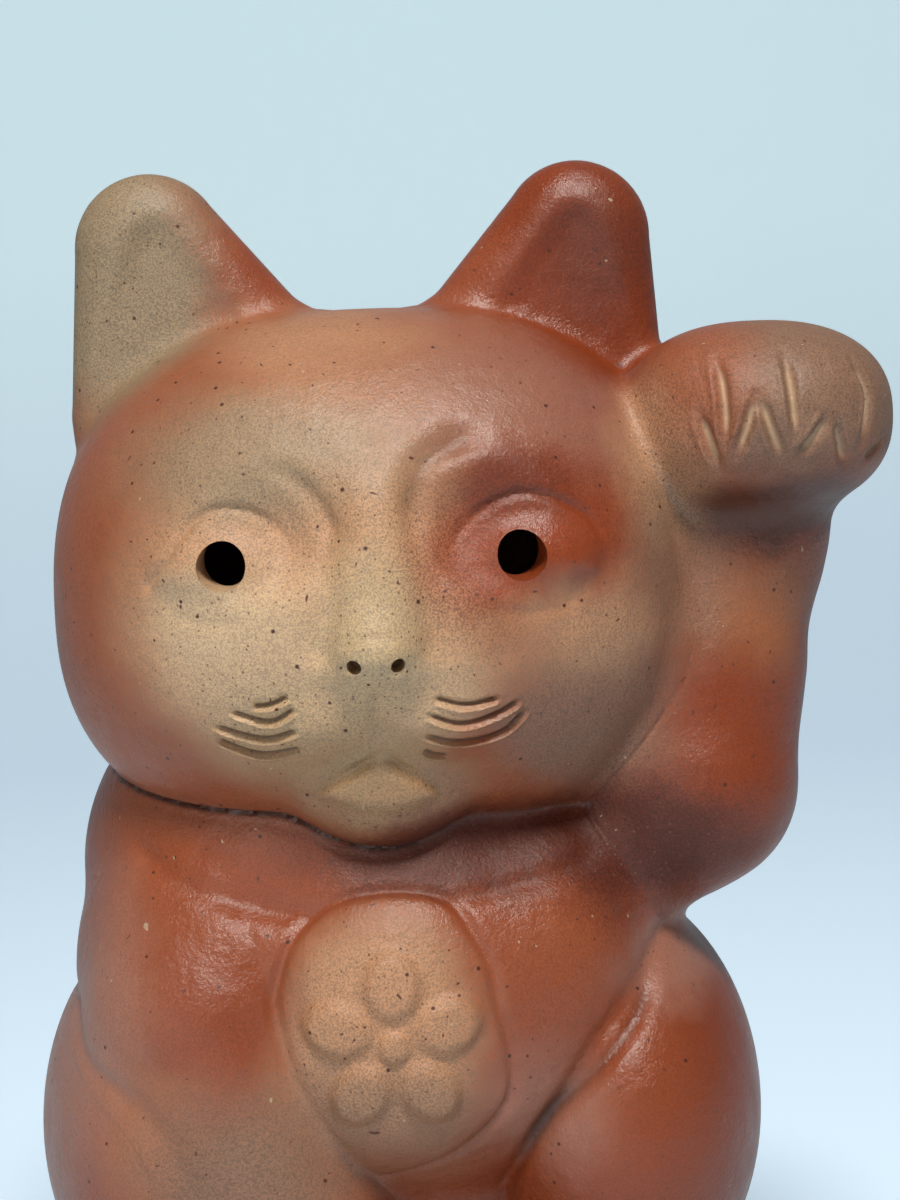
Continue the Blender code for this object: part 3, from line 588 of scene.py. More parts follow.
class Slab(Roll):
    """A rounded triangle of clay standing across the head, for an ear."""

    def round_distance(self, points, a, b, c):
        normal = np.cross(b - a, c - a)
        basis = np.linalg.inv(np.column_stack((b - a, c - a, normal)))
        share = (points - a) @ basis.T
        best = np.full(len(points), np.inf)
        inside = (share[:, 0] >= 0.0) & (share[:, 1] >= 0.0) & (share[:, 0] + share[:, 1] <= 1.0)
        ra, rb, rc = self.radii
        thick = ra + (rb - ra) * share[:, 0] + (rc - ra) * share[:, 1]
        face = np.abs(share[:, 2]) * np.linalg.norm(normal) - thick
        best[inside] = face[inside]
        for start, end, first, last in ((a, b, ra, rb), (b, c, rb, rc), (c, a, rc, ra)):
            reach, gap = from_line(points, start, end)
            gap = np.linalg.norm(gap, axis=1)
            best = np.minimum(best, gap - (first + (last - first) * reach))
        return best


class Dished:
    """A mass with a shallow panel pressed into its front."""

    def __init__(self, mass, panel):
        self.mass = mass
        self.panel = panel
        self.blend = mass.blend

    def grown(self, growth):
        return Dished(self.mass.grown(growth), self.panel)

    def distance(self, points):
        pressed = smooth_min(-self.mass.distance(points), self.panel.distance(points),
                             self.panel.blend)
        return -pressed

    def add_to(self, bm):
        self.mass.add_to(bm)


def from_line(points, start, end):
    """For each point: the share of the way from start to end where it is nearest, and the gap there."""
    axis = end - start
    reach = np.clip((points - start) @ axis / (axis @ axis), 0.0, 1.0)
    return reach, points - start - reach[:, None] * axis


def smooth_min(first, second, blend):
    """The nearer of two distances, with a fillet where they are alike."""
    share = np.clip(0.5 + 0.5 * (second - first) / blend, 0.0, 1.0)
    return second + (first - second) * share - blend * share * (1.0 - share)


def blended(masses, hollows=(), raised=()):
    """The distance to masses pressed into one, less thumbed hollows, with lumps raised in those."""
    def distance(points):
        result = masses[0].distance(points)
        for mass in masses[1:]:
            result = smooth_min(result, mass.distance(points), mass.blend)
        for hollow in hollows:
            result = -smooth_min(-result, hollow.distance(points), hollow.blend)
        for lump in raised:
            result = smooth_min(result, lump.distance(points), lump.blend)
        return result
    return distance


def on_side(point, side):
    return (point[0] * side, point[1], point[2])


def on_head(offset):
    return np.array(HEAD_CENTRE) + np.array(offset)


def skull():
    size = (HEAD_WIDTH, HEAD_DEPTH, HEAD_RISE * 2.0)
    return Ball(HEAD_CENTRE, size, SOFT, HEAD_SQUARENESS, HEAD_DROP)


def eye_centre(side):
    """A point on the middle of the eye, on the bare skull."""
    across = EYE_SPREAD / (HEAD_WIDTH / 2.0)
    up = EYE_LIFT / HEAD_RISE
    share = across ** HEAD_SQUARENESS + up ** HEAD_SQUARENESS
    forward = HEAD_DEPTH / 2.0 * math.sqrt(1.0 - share ** (2.0 / HEAD_SQUARENESS))
    return on_head((side * EYE_SPREAD, -forward, EYE_LIFT))


def nose():
    return Limb((on_head(NOSE_TOP), on_head(NOSE_TIP)), (NOSE_TOP_RADIUS, NOSE_TIP_RADIUS), MEDIUM)


def chin():
    return Ball(on_head(CHIN), CHIN_SIZE, MEDIUM)


def eye_socket(side):
    """The hollow between an eye, its brow and the bridge of the nose."""
    out = SOCKET_SIZE[1] / 2.0 - SOCKET_DEPTH
    centre = eye_centre(side) + np.array(on_side(SOCKET_SHIFT, side))
    return Ball(centre + np.array((0.0, -out, 0.0)), SOCKET_SIZE, MEDIUM)


def eyeball(side):
    back = SOCKET_DEPTH + EYEBALL_SIZE[1] / 2.0 - EYEBALL_STAND
    return Ball(eye_centre(side) + np.array((0.0, back, 0.0)), EYEBALL_SIZE, CRISP)


def ear(side):
    """A blade of clay with a flat triangle pressed into its front, inside its rounded rim."""
    ear_corners, panel_corners = [
        [on_head(on_side(corner, side)) for corner in corners] for corners in (EAR_CORNERS, PANEL_CORNERS)]
    radii = (EAR_TIP_RADIUS, EAR_ROOT_RADIUS, EAR_ROOT_RADIUS)
    blade = Slab(ear_corners, radii, MEDIUM, EAR_THICKNESS / 2.0 / EAR_TIP_RADIUS)
    return Dished(blade, Slab(panel_corners, (PANEL_RADIUS,) * 3, CRISP, 1.0))


def chest():
    return Ball(CHEST, CHEST_SIZE, MEDIUM)


def shoulders():
    """The lowered one first; the raised one is drawn in and up by its foreleg."""
    lowered = Ball(on_side(SHOULDER, -1.0), SHOULDER_SIZE, CRISP)
    return [lowered, Ball(RAISED_SHOULDER, RAISED_SHOULDER_SIZE, CRISP)]


def rump():
    return Ball(RUMP, RUMP_SIZE, SOFT)


def foot():
    return Ball(FOOT, FOOT_SIZE, SOFT)


def torso():
    """Neck, rump, foot, shoulders and chest."""
    nape = Ball(NAPE, NAPE_SIZE, CRISP)
    return [nape, rump(), foot()] + shoulders() + [chest()]


def haunches():
    """The two haunches, shifted a little to one side by the hand that modelled them."""
    lean = np.array((HIPS_LEAN, 0.0, 0.0))
    return [Ball(on_side(HAUNCH, side) + lean, HAUNCH_SIZE, CRISP) for side in (-1.0, 1.0)]


def rolls(joints, radii, blend):
    """Rolls of clay from joint to joint."""
    pairs = [slice(index, index + 2) for index in range(len(joints) - 1)]
    return [Limb(joints[pair], radii[pair], blend) for pair in pairs]


def raised_foreleg():
    return rolls(*zip(*RAISED_JOINTS), SOFT)


def raised_paw():
    return Ball(FIST, FIST_SIZE, MEDIUM, PAW_SQUARENESS)


def lowered_foreleg():
    leg = Limb((FORELEG_TOP, FORELEG_FOOT), (FORELEG_TOP_RADIUS, FORELEG_FOOT_RADIUS), MEDIUM)
    return [leg, Ball(FOREPAW, FOREPAW_SIZE, MEDIUM, PAW_SQUARENESS)]


def hind_paw(side):
    return Ball(on_side(HIND_PAW, side), HIND_PAW_SIZE, CRISP, PAW_SQUARENESS)


def chest_front(height):
    """How far forward the chest stands at a height, on the middle line."""
    front = chest()
    up = (height - front.centre[2]) / front.half[2]
    return front.centre[1] - front.half[1] * math.sqrt(1.0 - up ** 2)


def medallion_swell():
    front = chest_front(MEDALLION_LIFT) - MEDALLION_SWELL
    centre = (0.0, front + MEDALLION_DEPTH / 2.0, MEDALLION_LIFT)
    size = (MEDALLION_WIDTH, MEDALLION_DEPTH, MEDALLION_HEIGHT)
    return Ball(centre, size, CRISP, MEDALLION_SQUARENESS)


def tail_masses():
    """The tail leaves the rump at the back and swings up round the left hip."""
    back = rump()
    knots = []
    radii = []
    for index in range(TAIL_KNOTS):
        share = index / (TAIL_KNOTS - 1)
        x = TAIL_SWING * math.sin(share * TAIL_TURN)
        y = back.half[1] * math.sqrt(1.0 - (x / TAIL_ROUND) ** 2) - TAIL_SINK
        z = TAIL_START + TAIL_RISE * (1.0 - math.cos(share * TAIL_TURN))
        knots.append((x, back.centre[1] + y, z))
        radii.append(TAIL_RADIUS + (TAIL_TIP_RADIUS - TAIL_RADIUS) * share)
    return rolls(knots, radii, CRISP)


def rough_skin(name, masses, growth, cell):
    """One closed skin over a heap of masses, each grown a little, joined in voxels."""
    mesh = bpy.data.meshes.new(name)
    heap = bmesh.new()
    for mass in masses:
        lump = bmesh.new()
        mass.grown(growth).add_to(lump)
        lump.to_mesh(mesh)
        lump.free()
        heap.from_mesh(mesh)
    item = placed(name, heap)
    joined = item.modifiers.new("Join", "REMESH")
    joined.mode = "VOXEL"
    joined.voxel_size = cell
    bake(item)
    relax(item.data)
    return item


@contextmanager
def editing(mesh):
    """Open a mesh for editing, and put the result back."""
    bm = bmesh.new()
    bm.from_mesh(mesh)
    yield bm
    bm.to_mesh(mesh)
    bm.free()


def bake(item):
    """Put the result of an object's modifiers into its mesh."""
    bpy.context.view_layer.update()
    graph = bpy.context.evaluated_depsgraph_get()
    mesh = bpy.data.meshes.new_from_object(item.evaluated_get(graph), depsgraph=graph)
    item.modifiers.clear()
    old = item.data
    item.data = mesh
    bpy.data.meshes.remove(old)


def relax(mesh):
    with editing(mesh) as bm:
        bmesh.ops.smooth_vert(bm, verts=bm.verts, factor=0.5, use_axis_x=True, use_axis_y=True,
                              use_axis_z=True)


def rows_of(items, key):
    """The points, normals or middles of a mesh's elements, one to a row."""
    rows = np.empty(len(items) * 3)
    items.foreach_get(key, rows)
    return rows.reshape(-1, 3)


def move_points(mesh, points):
    mesh.vertices.foreach_set("co", points.ravel())
    mesh.update()


def ease_on_to(mesh, distance, growth):
    """Slide each point along the slope of the form until it lies on its surface."""
    points = rows_of(mesh.vertices, "co")
    for turn in range(2):
        here = distance(points) - growth
        slope = np.empty_like(points)
        for axis in range(3):
            offset = np.zeros(3)
            offset[axis] = PROBE
            slope[:, axis] = (distance(points + offset) - growth - here) / PROBE
        steepness = np.maximum((slope ** 2).sum(axis=1), LEAST_STEEPNESS)
        points -= slope * (here / steepness)[:, None]
    move_points(mesh, points)


def arm_masses():
    return raised_foreleg() + [raised_paw()]


def outer_form():
    """The whole cat as one solid lump: its masses and the distance to its skin."""
    masses = [skull(), nose(), chin(), ear(-1.0), ear(1.0)] + torso() + haunches()
    masses += arm_masses() + lowered_foreleg()
    masses += [hind_paw(-1.0), hind_paw(1.0), medallion_swell()] + tail_masses()
    hollows = [eye_socket(-1.0), eye_socket(1.0)]
    return masses, blended(masses, hollows, [eyeball(-1.0), eyeball(1.0)])


def body_hollow_form():
    """What is left open inside: head, torso and haunches, running out through the foot."""
    masses = [skull()] + torso() + haunches()
    for mass in masses:
        mass.blend = SOFT
    return masses, blended(masses)


def box(name, low, high):
    bm = bmesh.new()
    low, high = Vector(low), Vector(high)
    place = Matrix.Translation((low + high) / 2.0) @ Matrix.Diagonal((high - low).to_4d())
    bmesh.ops.create_cube(bm, size=1.0, matrix=place)
    return placed(name, bm)


def linked(name, data):
    """A new object in the scene."""
    item = bpy.data.objects.new(name, data)
    bpy.context.scene.collection.objects.link(item)
    return item


def placed(name, bm):
    mesh = bpy.data.meshes.new(name)
    bmesh.ops.recalc_face_normals(bm, faces=bm.faces)
    bm.to_mesh(mesh)
    bm.free()
    return linked(name, mesh)


def cut(item, cutter, operation="DIFFERENCE"):
    joined = item.modifiers.new("Cut", "BOOLEAN")
    joined.operation = operation
    joined.solver = "MANIFOLD"
    joined.object = cutter
    bake(item)


def cut_with(item, tool, operation="DIFFERENCE"):
    """Cut with a tool that isn't needed again."""
    cut(item, tool, operation)
    discard(tool)


def copy_of(item, name):
    return linked(name, item.data.copy())


def discard(*items):
    for item in items:
        bpy.data.objects.remove(item)


def bed(mass, gap):
    """The buried face that an applied piece is luted on to: its carrier's form, a little way in."""
    bm = bmesh.new()
    mass.grown(-SEAT_DEPTH - gap).add_to(bm)
    return placed("bed", bm)


def swollen(item, growth):
    twin = copy_of(item, item.name + "_swollen")
    verts = twin.data.vertices
    move_points(twin.data, rows_of(verts, "co") + rows_of(verts, "normal") * growth)
    return twin


def part_off(clay, name, tool, carriers):
    """Lift an applied piece off the clay, with a shallow bite of whatever carries it."""
    tools = [tool, swollen(tool, HAIRLINE)]
    for cutter, gap in zip(tools, (0.0, HAIRLINE)):
        for carrier in carriers:
            cut_with(cutter, bed(carrier, gap))
    piece = copy_of(clay, name)
    cut(piece, tools[0], "INTERSECT")
    cut(clay, tools[1])
    discard(*tools)
    return piece


def territory(masses):
    """The clay that belongs to an applied piece, with the fillet round its foot."""
    return rough_skin("territory", masses, SEAT_DEPTH, TOOL_CELL)


def column(name, place, sides, radius=1.0, length=1.0):
    """A round cutting column along its own Z, moved and stretched into place."""
    bm = bmesh.new()
    bmesh.ops.create_cone(bm, cap_ends=True, segments=sides, radius1=radius, radius2=radius,
                          depth=length, matrix=place)
    return placed(name, bm)


def oval():
    """A straight oval cutter through the chest, for the medallion's outline."""
    out = chest_front(MEDALLION_LIFT)
    place = Matrix.Translation((0.0, out, MEDALLION_LIFT)) @ Matrix.Rotation(math.pi / 2.0, 4, "X")
    size = (MEDALLION_WIDTH / 2.0, MEDALLION_HEIGHT / 2.0, -out, 1.0)
    return column("oval", place @ Matrix.Diagonal(size), OVAL_SIDES)


def split(clay, names, point, normal):
    """Part the clay on a plane; the first name goes to the side that the normal points to."""
    turn = Vector(normal).to_track_quat("Z", "Y").to_matrix().to_4x4()
    halves = []
    for name, side in zip(names, (1.0, -1.0)):
        block = box("block", (-CLEAR, -CLEAR, HAIRLINE / 2.0), (CLEAR, CLEAR, CLEAR))
        flip = Matrix.Diagonal((1.0, side, side, 1.0))
        block.data.transform(Matrix.Translation(point) @ turn @ flip)
        half = copy_of(clay, name)
        cut_with(half, block, "INTERSECT")
        halves.append(half)
    discard(clay)
    return halves


def sweep_crumbs(mesh):
    """Keep the largest island of a piece."""
    with editing(mesh) as bm:
        islands = []
        waiting = set(bm.verts)
        while waiting:
            island = [waiting.pop()]
            for vert in island:
                others = waiting.intersection(edge.other_vert(vert) for edge in vert.link_edges)
                waiting -= others
                island += others
            islands.append(island)
        for island in sorted(islands, key=len)[:-1]:
            bmesh.ops.delete(bm, geom=island, context="VERTS")


def subdivided(mesh, chosen):
    """Split the chosen faces in four."""
    with editing(mesh) as bm:
        bm.faces.ensure_lookup_table()
        faces = [bm.faces[int(index)] for index in np.flatnonzero(chosen)]
        edges = dict.fromkeys(edge for face in faces for edge in face.edges)
        bmesh.ops.subdivide_edges(bm, edges=list(edges), cuts=1, use_grid_fill=True)
        bmesh.ops.triangulate(bm, faces=[face for face in bm.faces if len(face.verts) > 4])


def in_boxes(centres, boxes):
    x, y, z = centres.T
    chosen = np.zeros(len(centres), bool)
    for left, right, low, high, back in boxes:
        chosen |= (x > left) & (x < right) & (z > low) & (z < high) & (y < back)
    return chosen


def fine_skin(distance, masses):
    """The skin of the form, finest where the maker's tools left marks."""
    item = rough_skin("clay", masses, 0.0, FINE_CELL)
    for turn in range(2):
        ease_on_to(item.data, distance, 0.0)
        relax(item.data)
    ease_on_to(item.data, distance, 0.0)
    for boxes in (WHOLE, WORKED, SCRATCHED):
        subdivided(item.data, in_boxes(rows_of(item.data.polygons, "center"), boxes))
    relax(item.data)
    ease_on_to(item.data, distance, 0.0)
    return item


def step(low, high, value):
    share = np.clip((value - low) / (high - low), 0.0, 1.0)
    return share * share * (3.0 - 2.0 * share)


def route_on(distance, route):
    """A smooth line through points given in millimetres across and up, laid on the front of the form."""
    knots = np.array(route, float) / METRE
    knots = np.vstack((2.0 * knots[0] - knots[1], knots, 2.0 * knots[-1] - knots[-2]))
    line = []
    for a, b, c, d in zip(knots, knots[1:], knots[2:], knots[3:]):
        for index in range(ROUTE_TURNS):
            t = index / ROUTE_TURNS
            line.append(0.5 * (2.0 * b + (c - a) * t + (2.0 * a - 5.0 * b + 4.0 * c - d) * t ** 2
                               + (3.0 * b - a - 3.0 * c + d) * t ** 3))
    line.append(knots[-2])
    flat = np.array(line)
    points = np.column_stack((flat[:, 0], np.full(len(flat), ROUTE_START), flat[:, 1]))
    for turn in range(ROUTE_STEPS):
        points[:, 1] += np.maximum(distance(points), 0.0) * ROUTE_STRIDE
    return points


def near_line(points, line):
    """For each point: how far the line is, how far along it, and the way to it."""
    best = np.full(len(points), np.inf)
    along = np.zeros(len(points))
    away = np.zeros_like(points)
    pairs = list(zip(line, line[1:]))
    for index, (start, end) in enumerate(pairs):
        reach, gap = from_line(points, start, end)
        size = np.linalg.norm(gap, axis=1)
        closer = size < best
        best[closer] = size[closer]
        along[closer] = (index + reach[closer]) / len(pairs)
        away[closer] = gap[closer]
    return best, along, away


class Relief:
    """Adds up how far each point of the skin is pressed in or raised, in metres."""

    def __init__(self, mesh, distance):
        self.points = rows_of(mesh.vertices, "co")
        self.normals = rows_of(mesh.vertices, "normal")
        self.distance = distance
        self.height = np.zeros(len(self.points))
        # Tint of each point: above nought the colour of clay laid bare by the tool, below nought painted
        # shade in grooves and creases
        self.tint = np.zeros(len(self.points))
        forward = step(0.0, FORWARD, -self.normals[:, 1])
        self.front = (self.points[:, 1] * METRE < FRONT_LIMIT) * forward

    def scratch(self, route, width, depth, fade, tint=0.0, blunt=0.0, lip=0.0, lip_side=DOWN,
                lip_tint=0.0):
        """A tool mark along a route, in millimetres; a positive depth is a groove, and a tint below nought
        paints shade into it.
        """
        line = route_on(self.distance, route)
        reach = width * STROKE_REACH
        low, high = line.min(axis=0) - reach, line.max(axis=0) + reach
        chosen = np.flatnonzero(((self.points > low) & (self.points < high)).all(axis=1))
        if not len(chosen):
            return
        gap, along, away = near_line(self.points[chosen], line)
        half = width * HALF_MM
        ends = step(0.0, fade, along) * step(0.0, fade, 1.0 - along)
        ends = blunt + (1.0 - blunt) * ends
        hollow = np.exp(-(gap / half) ** 2) * ends
        self.height[chosen] -= depth * MM * hollow
        self.tint[chosen] += tint * hollow
        if lip:
            ways = (away @ np.array(lip_side), gap)
            ridge = np.exp(-sum(((way / half - LIP_PLACE) / LIP_BREADTH) ** 2 for way in ways)) * ends
            self.height[chosen] += lip * MM * ridge
            self.tint[chosen] += lip_tint * ridge

    def crease(self, first, second, width, depth, tint, limit=CLEAR):
        """A groove in millimetres where two heaps of masses meet, tinted with painted shade; a limit keeps
        it front left.
        """
        near, far = blended(first)(self.points), blended(second)(self.points)
        hollow = np.exp(-((near - far) / (width * HALF_MM)) ** 2) * np.exp(-(near / CREASE_REACH) ** 2)
        for axis, (start, end) in enumerate(CREASE_FADE):
            hollow *= step(limit + start, limit + end, self.points[:, axis])
        self.height -= depth * MM * hollow
        self.tint += tint * hollow

    def pad(self, place, wide, high, height, edge, lean=0.0):
        """A raised or sunken oval on the front, in millimetres, soft by the share edge."""
        x, y, z = self.points.T * METRE
        across, up = place
        turn = math.radians(lean)
        u = (x - across) * math.cos(turn) + (z - up) * math.sin(turn)
        v = (z - up) * math.cos(turn) - (x - across) * math.sin(turn)
        share = np.hypot(u / (wide / 2.0), v / (high / 2.0))
        self.height += height * MM * (1.0 - step(1.0 - edge, 1.0, share)) * self.front

    def lens(self, corners, rise, fall, height, edge, power=0.75):
        """A raised leaf shape between two corners, its upper edge bowed by rise, its lower by fall."""
        x, y, z = self.points.T * METRE
        (x0, z0), (x1, z1) = corners
        share = np.clip((x - x0) / (x1 - x0), 0.0, 1.0)
        bow = (4.0 * share * (1.0 - share)) ** power
        level = z0 + (z1 - z0) * share
        inside = np.minimum(level + rise * bow - z, z - level + fall * bow)
        self.height += height * MM * step(0.0, edge, inside) * self.front * (bow > 0.0)


def press_joins(relief):
    """Creases where one mass of clay was pressed on to another, sharpest under the jaw, darkened with
    painted shade.
    """
    head = [skull(), chin()]
    trunk = torso()
    # Each join: masses, the masses they meet, width, depth, tint and limit; the tint paints shade into the
    # crease, and the first row's crack under the jaw is partly the dark line of the joint itself
    joins = (
        (head, trunk, 0.8, 0.9, -1.0, CRACK_END),
        (head, trunk, 5.0, 0.3, -0.45),
        (haunches(), trunk + lowered_foreleg(), 3.0, 0.9, -0.25),
        (raised_foreleg()[:2], head + trunk, 1.6, 0.5, -0.2),
        ([ear(-1.0), ear(1.0)], head, 2.4, 0.3, -0.1),
        (lowered_foreleg(), trunk[-1:], 2.6, 0.4, -0.1),
    )
    for join in joins:
        relief.crease(*join)


def press_blossom(relief):
    """A five-petalled plum blossom in soft low relief, as a stamp presses it."""
    lift = MEDALLION_LIFT * METRE
    reach = PETAL_RING * METRE * PETAL_SPREAD
    relief.pad((0.0, lift), HEART_WIDTH, HEART_WIDTH, HEART_HEIGHT, HEART_EDGE)
    for index in range(PETAL_COUNT):
        turn = math.tau * index / PETAL_COUNT
        place = (reach * math.sin(turn), lift + reach * math.cos(turn))
        relief.pad(place, PETAL_WIDTH * METRE, PETAL_LENGTH * METRE, PETAL_HEIGHT, PETAL_EDGE,
                   -math.degrees(turn))


def tool_marks(mesh, distance):
    """Press every tool mark into the skin at once."""
    relief = Relief(mesh, distance)
    for press, rows in ((relief.lens, LENSES), (relief.pad, PADS), (relief.scratch, STROKES)):
        for row in rows:
            press(*row)
    for routes, tool in ((WHISKERS, WHISKER_TOOL), (CLAWS, CLAW_TOOL)):
        for route in routes:
            relief.scratch(route, **tool)
    press_joins(relief)
    press_blossom(relief)
    move_points(mesh, within_box(relief.points + relief.normals * relief.height[:, None]))
    # The tint goes to the material: above nought clay laid bare by the tool, below nought painted shade in
    # grooves and creases
    note = mesh.attributes.new("scrape_and_shade", "FLOAT", "POINT")
    note.data.foreach_set("value", relief.tint)


def within_box(points):
    """Draw the finest skin in by a hair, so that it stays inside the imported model's box."""
    low, high = [np.array(corner) - np.array(MIDDLE) for corner in CAD_BOX]
    above = points[:, 2] > 0.0
    for axis in (0, 1):
        least, most = points[above, axis].min(), points[above, axis].max()
        start, end = max(least, low[axis] + HAIRLINE), min(most, high[axis] - HAIRLINE)
        points[:, axis] = start + (points[:, axis] - least) * (end - start) / (most - least)
    points[:, 2] *= min(high[2] / points[above, 2].max(), 1.0)
    return points


def rod(start, end, radius, sides):
    """A round cutting rod between two points."""
    start = Vector(start)
    axis = Vector(end) - start
    turn = axis.to_track_quat("Z", "Y").to_matrix().to_4x4()
    return column("rod", Matrix.Translation(start + axis / 2.0) @ turn, sides, radius, axis.length)


def pierce_face(face):
    """Push the two eye holes through the wall and poke the two nostrils into the nose."""
    for side in (-1.0, 1.0):
        eye = eye_centre(side) + (NOSE_TIP[0], 0.0, 0.0)
        poke = np.array(on_side(EYE_POKE, -side))
        cut_with(face, rod(eye - poke, eye + poke * EYE_POKE_END, EYE_HOLE / 2.0, EYE_SIDES))
        tip = on_head(NOSE_TIP) + np.array((side * NOSTRIL_SPREAD, -NOSE_TIP_RADIUS, -NOSTRIL_DROP))
        poke = np.array(on_side(NOSTRIL_POKE, -side))
        cut_with(face, rod(tip - poke, tip + poke, NOSTRIL_HOLE / 2.0, NOSTRIL_SIDES))


def foot_ring(hollow):
    """A flat ring that fills the mouth of the foot."""
    ring = box("foot_ring", (-CLEAR, -CLEAR, 0.0), (CLEAR, CLEAR, FOOT_RING_HEIGHT))
    cut_with(ring, swollen(hollow, -JOINT_GAP), "INTERSECT")
    size = (FOOT_HOLE_WIDTH / 2.0, FOOT_HOLE_DEPTH / 2.0, CLEAR, 1.0)
    place = Matrix.Translation(FOOT) @ Matrix.Diagonal(size)
    cut_with(ring, column("hole", place, OVAL_SIDES))
    return ring


def clay_pieces():
    """Shape the whole cat in clay and part it along its luted joints."""
    masses, distance = outer_form()
    clay = fine_skin(distance, masses)
    tool_marks(clay.data, distance)
    masses, inside = body_hollow_form()
    hollow = rough_skin("hollow", masses, -WALL, HOLLOW_CELL)
    ease_on_to(hollow.data, inside, -WALL)
    cut_with(clay, box("floor", (-CLEAR, -CLEAR, -CLEAR), (CLEAR, CLEAR, 0.0)))
    cut(clay, hollow)
    cut_with(clay, rough_skin("core", arm_masses(), -ARM_WALL, CORE_CELL))
    pieces = [foot_ring(hollow)]
    discard(hollow)
    lowered_side, raised_side = shoulders()
    right_haunch, left_haunch = haunches()
    applied = (
        ("ear_right", territory([ear(-1.0)]), [skull()]),
        ("ear_left", territory([ear(1.0)]), [skull()]),
        ("arm", territory(arm_masses()), [skull(), raised_side, chest()]),
        ("chest_medallion", oval(), [chest()]),
        ("lowered_foreleg", territory(lowered_foreleg()),
         [chest(), lowered_side, rump(), foot(), right_haunch]),
        ("hind_paw_right", territory([hind_paw(-1.0)]), [foot(), right_haunch, left_haunch]),
        ("hind_paw_left", territory([hind_paw(1.0)]), [foot(), right_haunch, left_haunch]),
        ("tail", territory(tail_masses()), [rump(), foot(), left_haunch]),
    )
    for name, tool, carriers in applied:
        pieces.append(part_off(clay, name, tool, carriers))
        if name == "arm":
            wrist = raised_foreleg()[-1].corners[0]
            fist = raised_paw().centre
            pieces += split(pieces.pop(), ("raised_paw", "raised_foreleg"), wrist, fist - wrist)
    slope = (0.0, -math.sin(NECK_SLOPE), math.cos(NECK_SLOPE))
    head, body = split(clay, ("head", "body"), (0.0, 0.0, NECK_HEIGHT), slope)
    seam = (0.0, SEAM_DEPTH, 0.0)
    back, front = split(head, ("head_back", "head_front"), seam, BACKWARD)
    pierce_face(front)
    pieces += [back, front] + split(body, ("body_back", "body_front"), seam, BACKWARD)
    return pieces


def tone(code):
    """Scene-linear colour from an sRGB hex code."""
    values = [int(code[index:index + 2], 16) / 255.0 for index in (1, 3, 5)]
    return tuple(((v + 0.055) / 1.055) ** 2.4 if v > 0.04045 else v / 12.92 for v in values) + (1.0,)


def feed(tree, node, inputs):
    """Set a node's inputs; they are pairs of a socket and its value or its link."""
    for socket, value in inputs:
        if isinstance(value, bpy.types.NodeSocket):
            tree.links.new(value, node.inputs[socket])
        else:
            node.inputs[socket].default_value = value


def add(tree, kind, inputs=(), **settings):
    """Add a node with its settings and its inputs."""
    node = tree.nodes.new(kind)
    for name, value in settings.items():
        setattr(node, name, value)
    feed(tree, node, inputs)
    return node


def new_material(name):
    """A material, its node tree, its shader and the place on the object."""
    material = bpy.data.materials.new(name)
    material.use_nodes = True
    tree = material.node_tree
    place = add(tree, "ShaderNodeTexCoord").outputs["Object"]
    return material, tree, tree.nodes["Principled BSDF"], place


def vector_math(tree, operation, first, second=(0.0, 0.0, 0.0)):
    node = add(tree, "ShaderNodeVectorMath", ((0, first), (1, second)), operation=operation)
    return node.outputs["Value" if operation == "LENGTH" else "Vector"]


def math_node(tree, operation, first, second):
    return add(tree, "ShaderNodeMath", ((0, first), (1, second)), operation=operation).outputs[0]


def noise(tree, place, size, detail, rough, output="Fac"):
    """Soft noise whose lumps are about the given size in metres."""
    return add(tree, "ShaderNodeTexNoise", (("Vector", place), ("Scale", 1.0 / size), ("Detail", detail),
                                            ("Roughness", rough))).outputs[output]


def ramp(tree, value, low, high, start=0.0, end=1.0):
    return add(tree, "ShaderNodeMapRange", (("Value", value), ("From Min", low), ("From Max", high),
                                            ("To Min", start), ("To Max", end)),
               interpolation_type="SMOOTHSTEP").outputs["Result"]


def mix(tree, share, first, second, blend="MIX"):
    return add(tree, "ShaderNodeMix", ((0, share), (6, first), (7, second)), data_type="RGBA",
               blend_type=blend).outputs[2]


def bump(tree, height, strength, distance, *under):
    return add(tree, "ShaderNodeBump", (("Height", height), ("Strength", strength),
                                        ("Distance", distance)) + under).outputs[0]


def specks(tree, place, size, spacing, share):
    """Scattered round dots: 1 on a dot, 0 off it; only a share of the cells hold one."""
    cells = add(tree, "ShaderNodeTexVoronoi", (("Vector", place), ("Scale", 1.0 / spacing)))
    dot = ramp(tree, cells.outputs["Distance"], 0.5 * size / spacing, 0.28 * size / spacing)
    split_colour = add(tree, "ShaderNodeSeparateColor", (("Color", cells.outputs["Color"]),))
    chosen = math_node(tree, "LESS_THAN", split_colour.outputs[0], share)
    return math_node(tree, "MULTIPLY", dot, chosen)


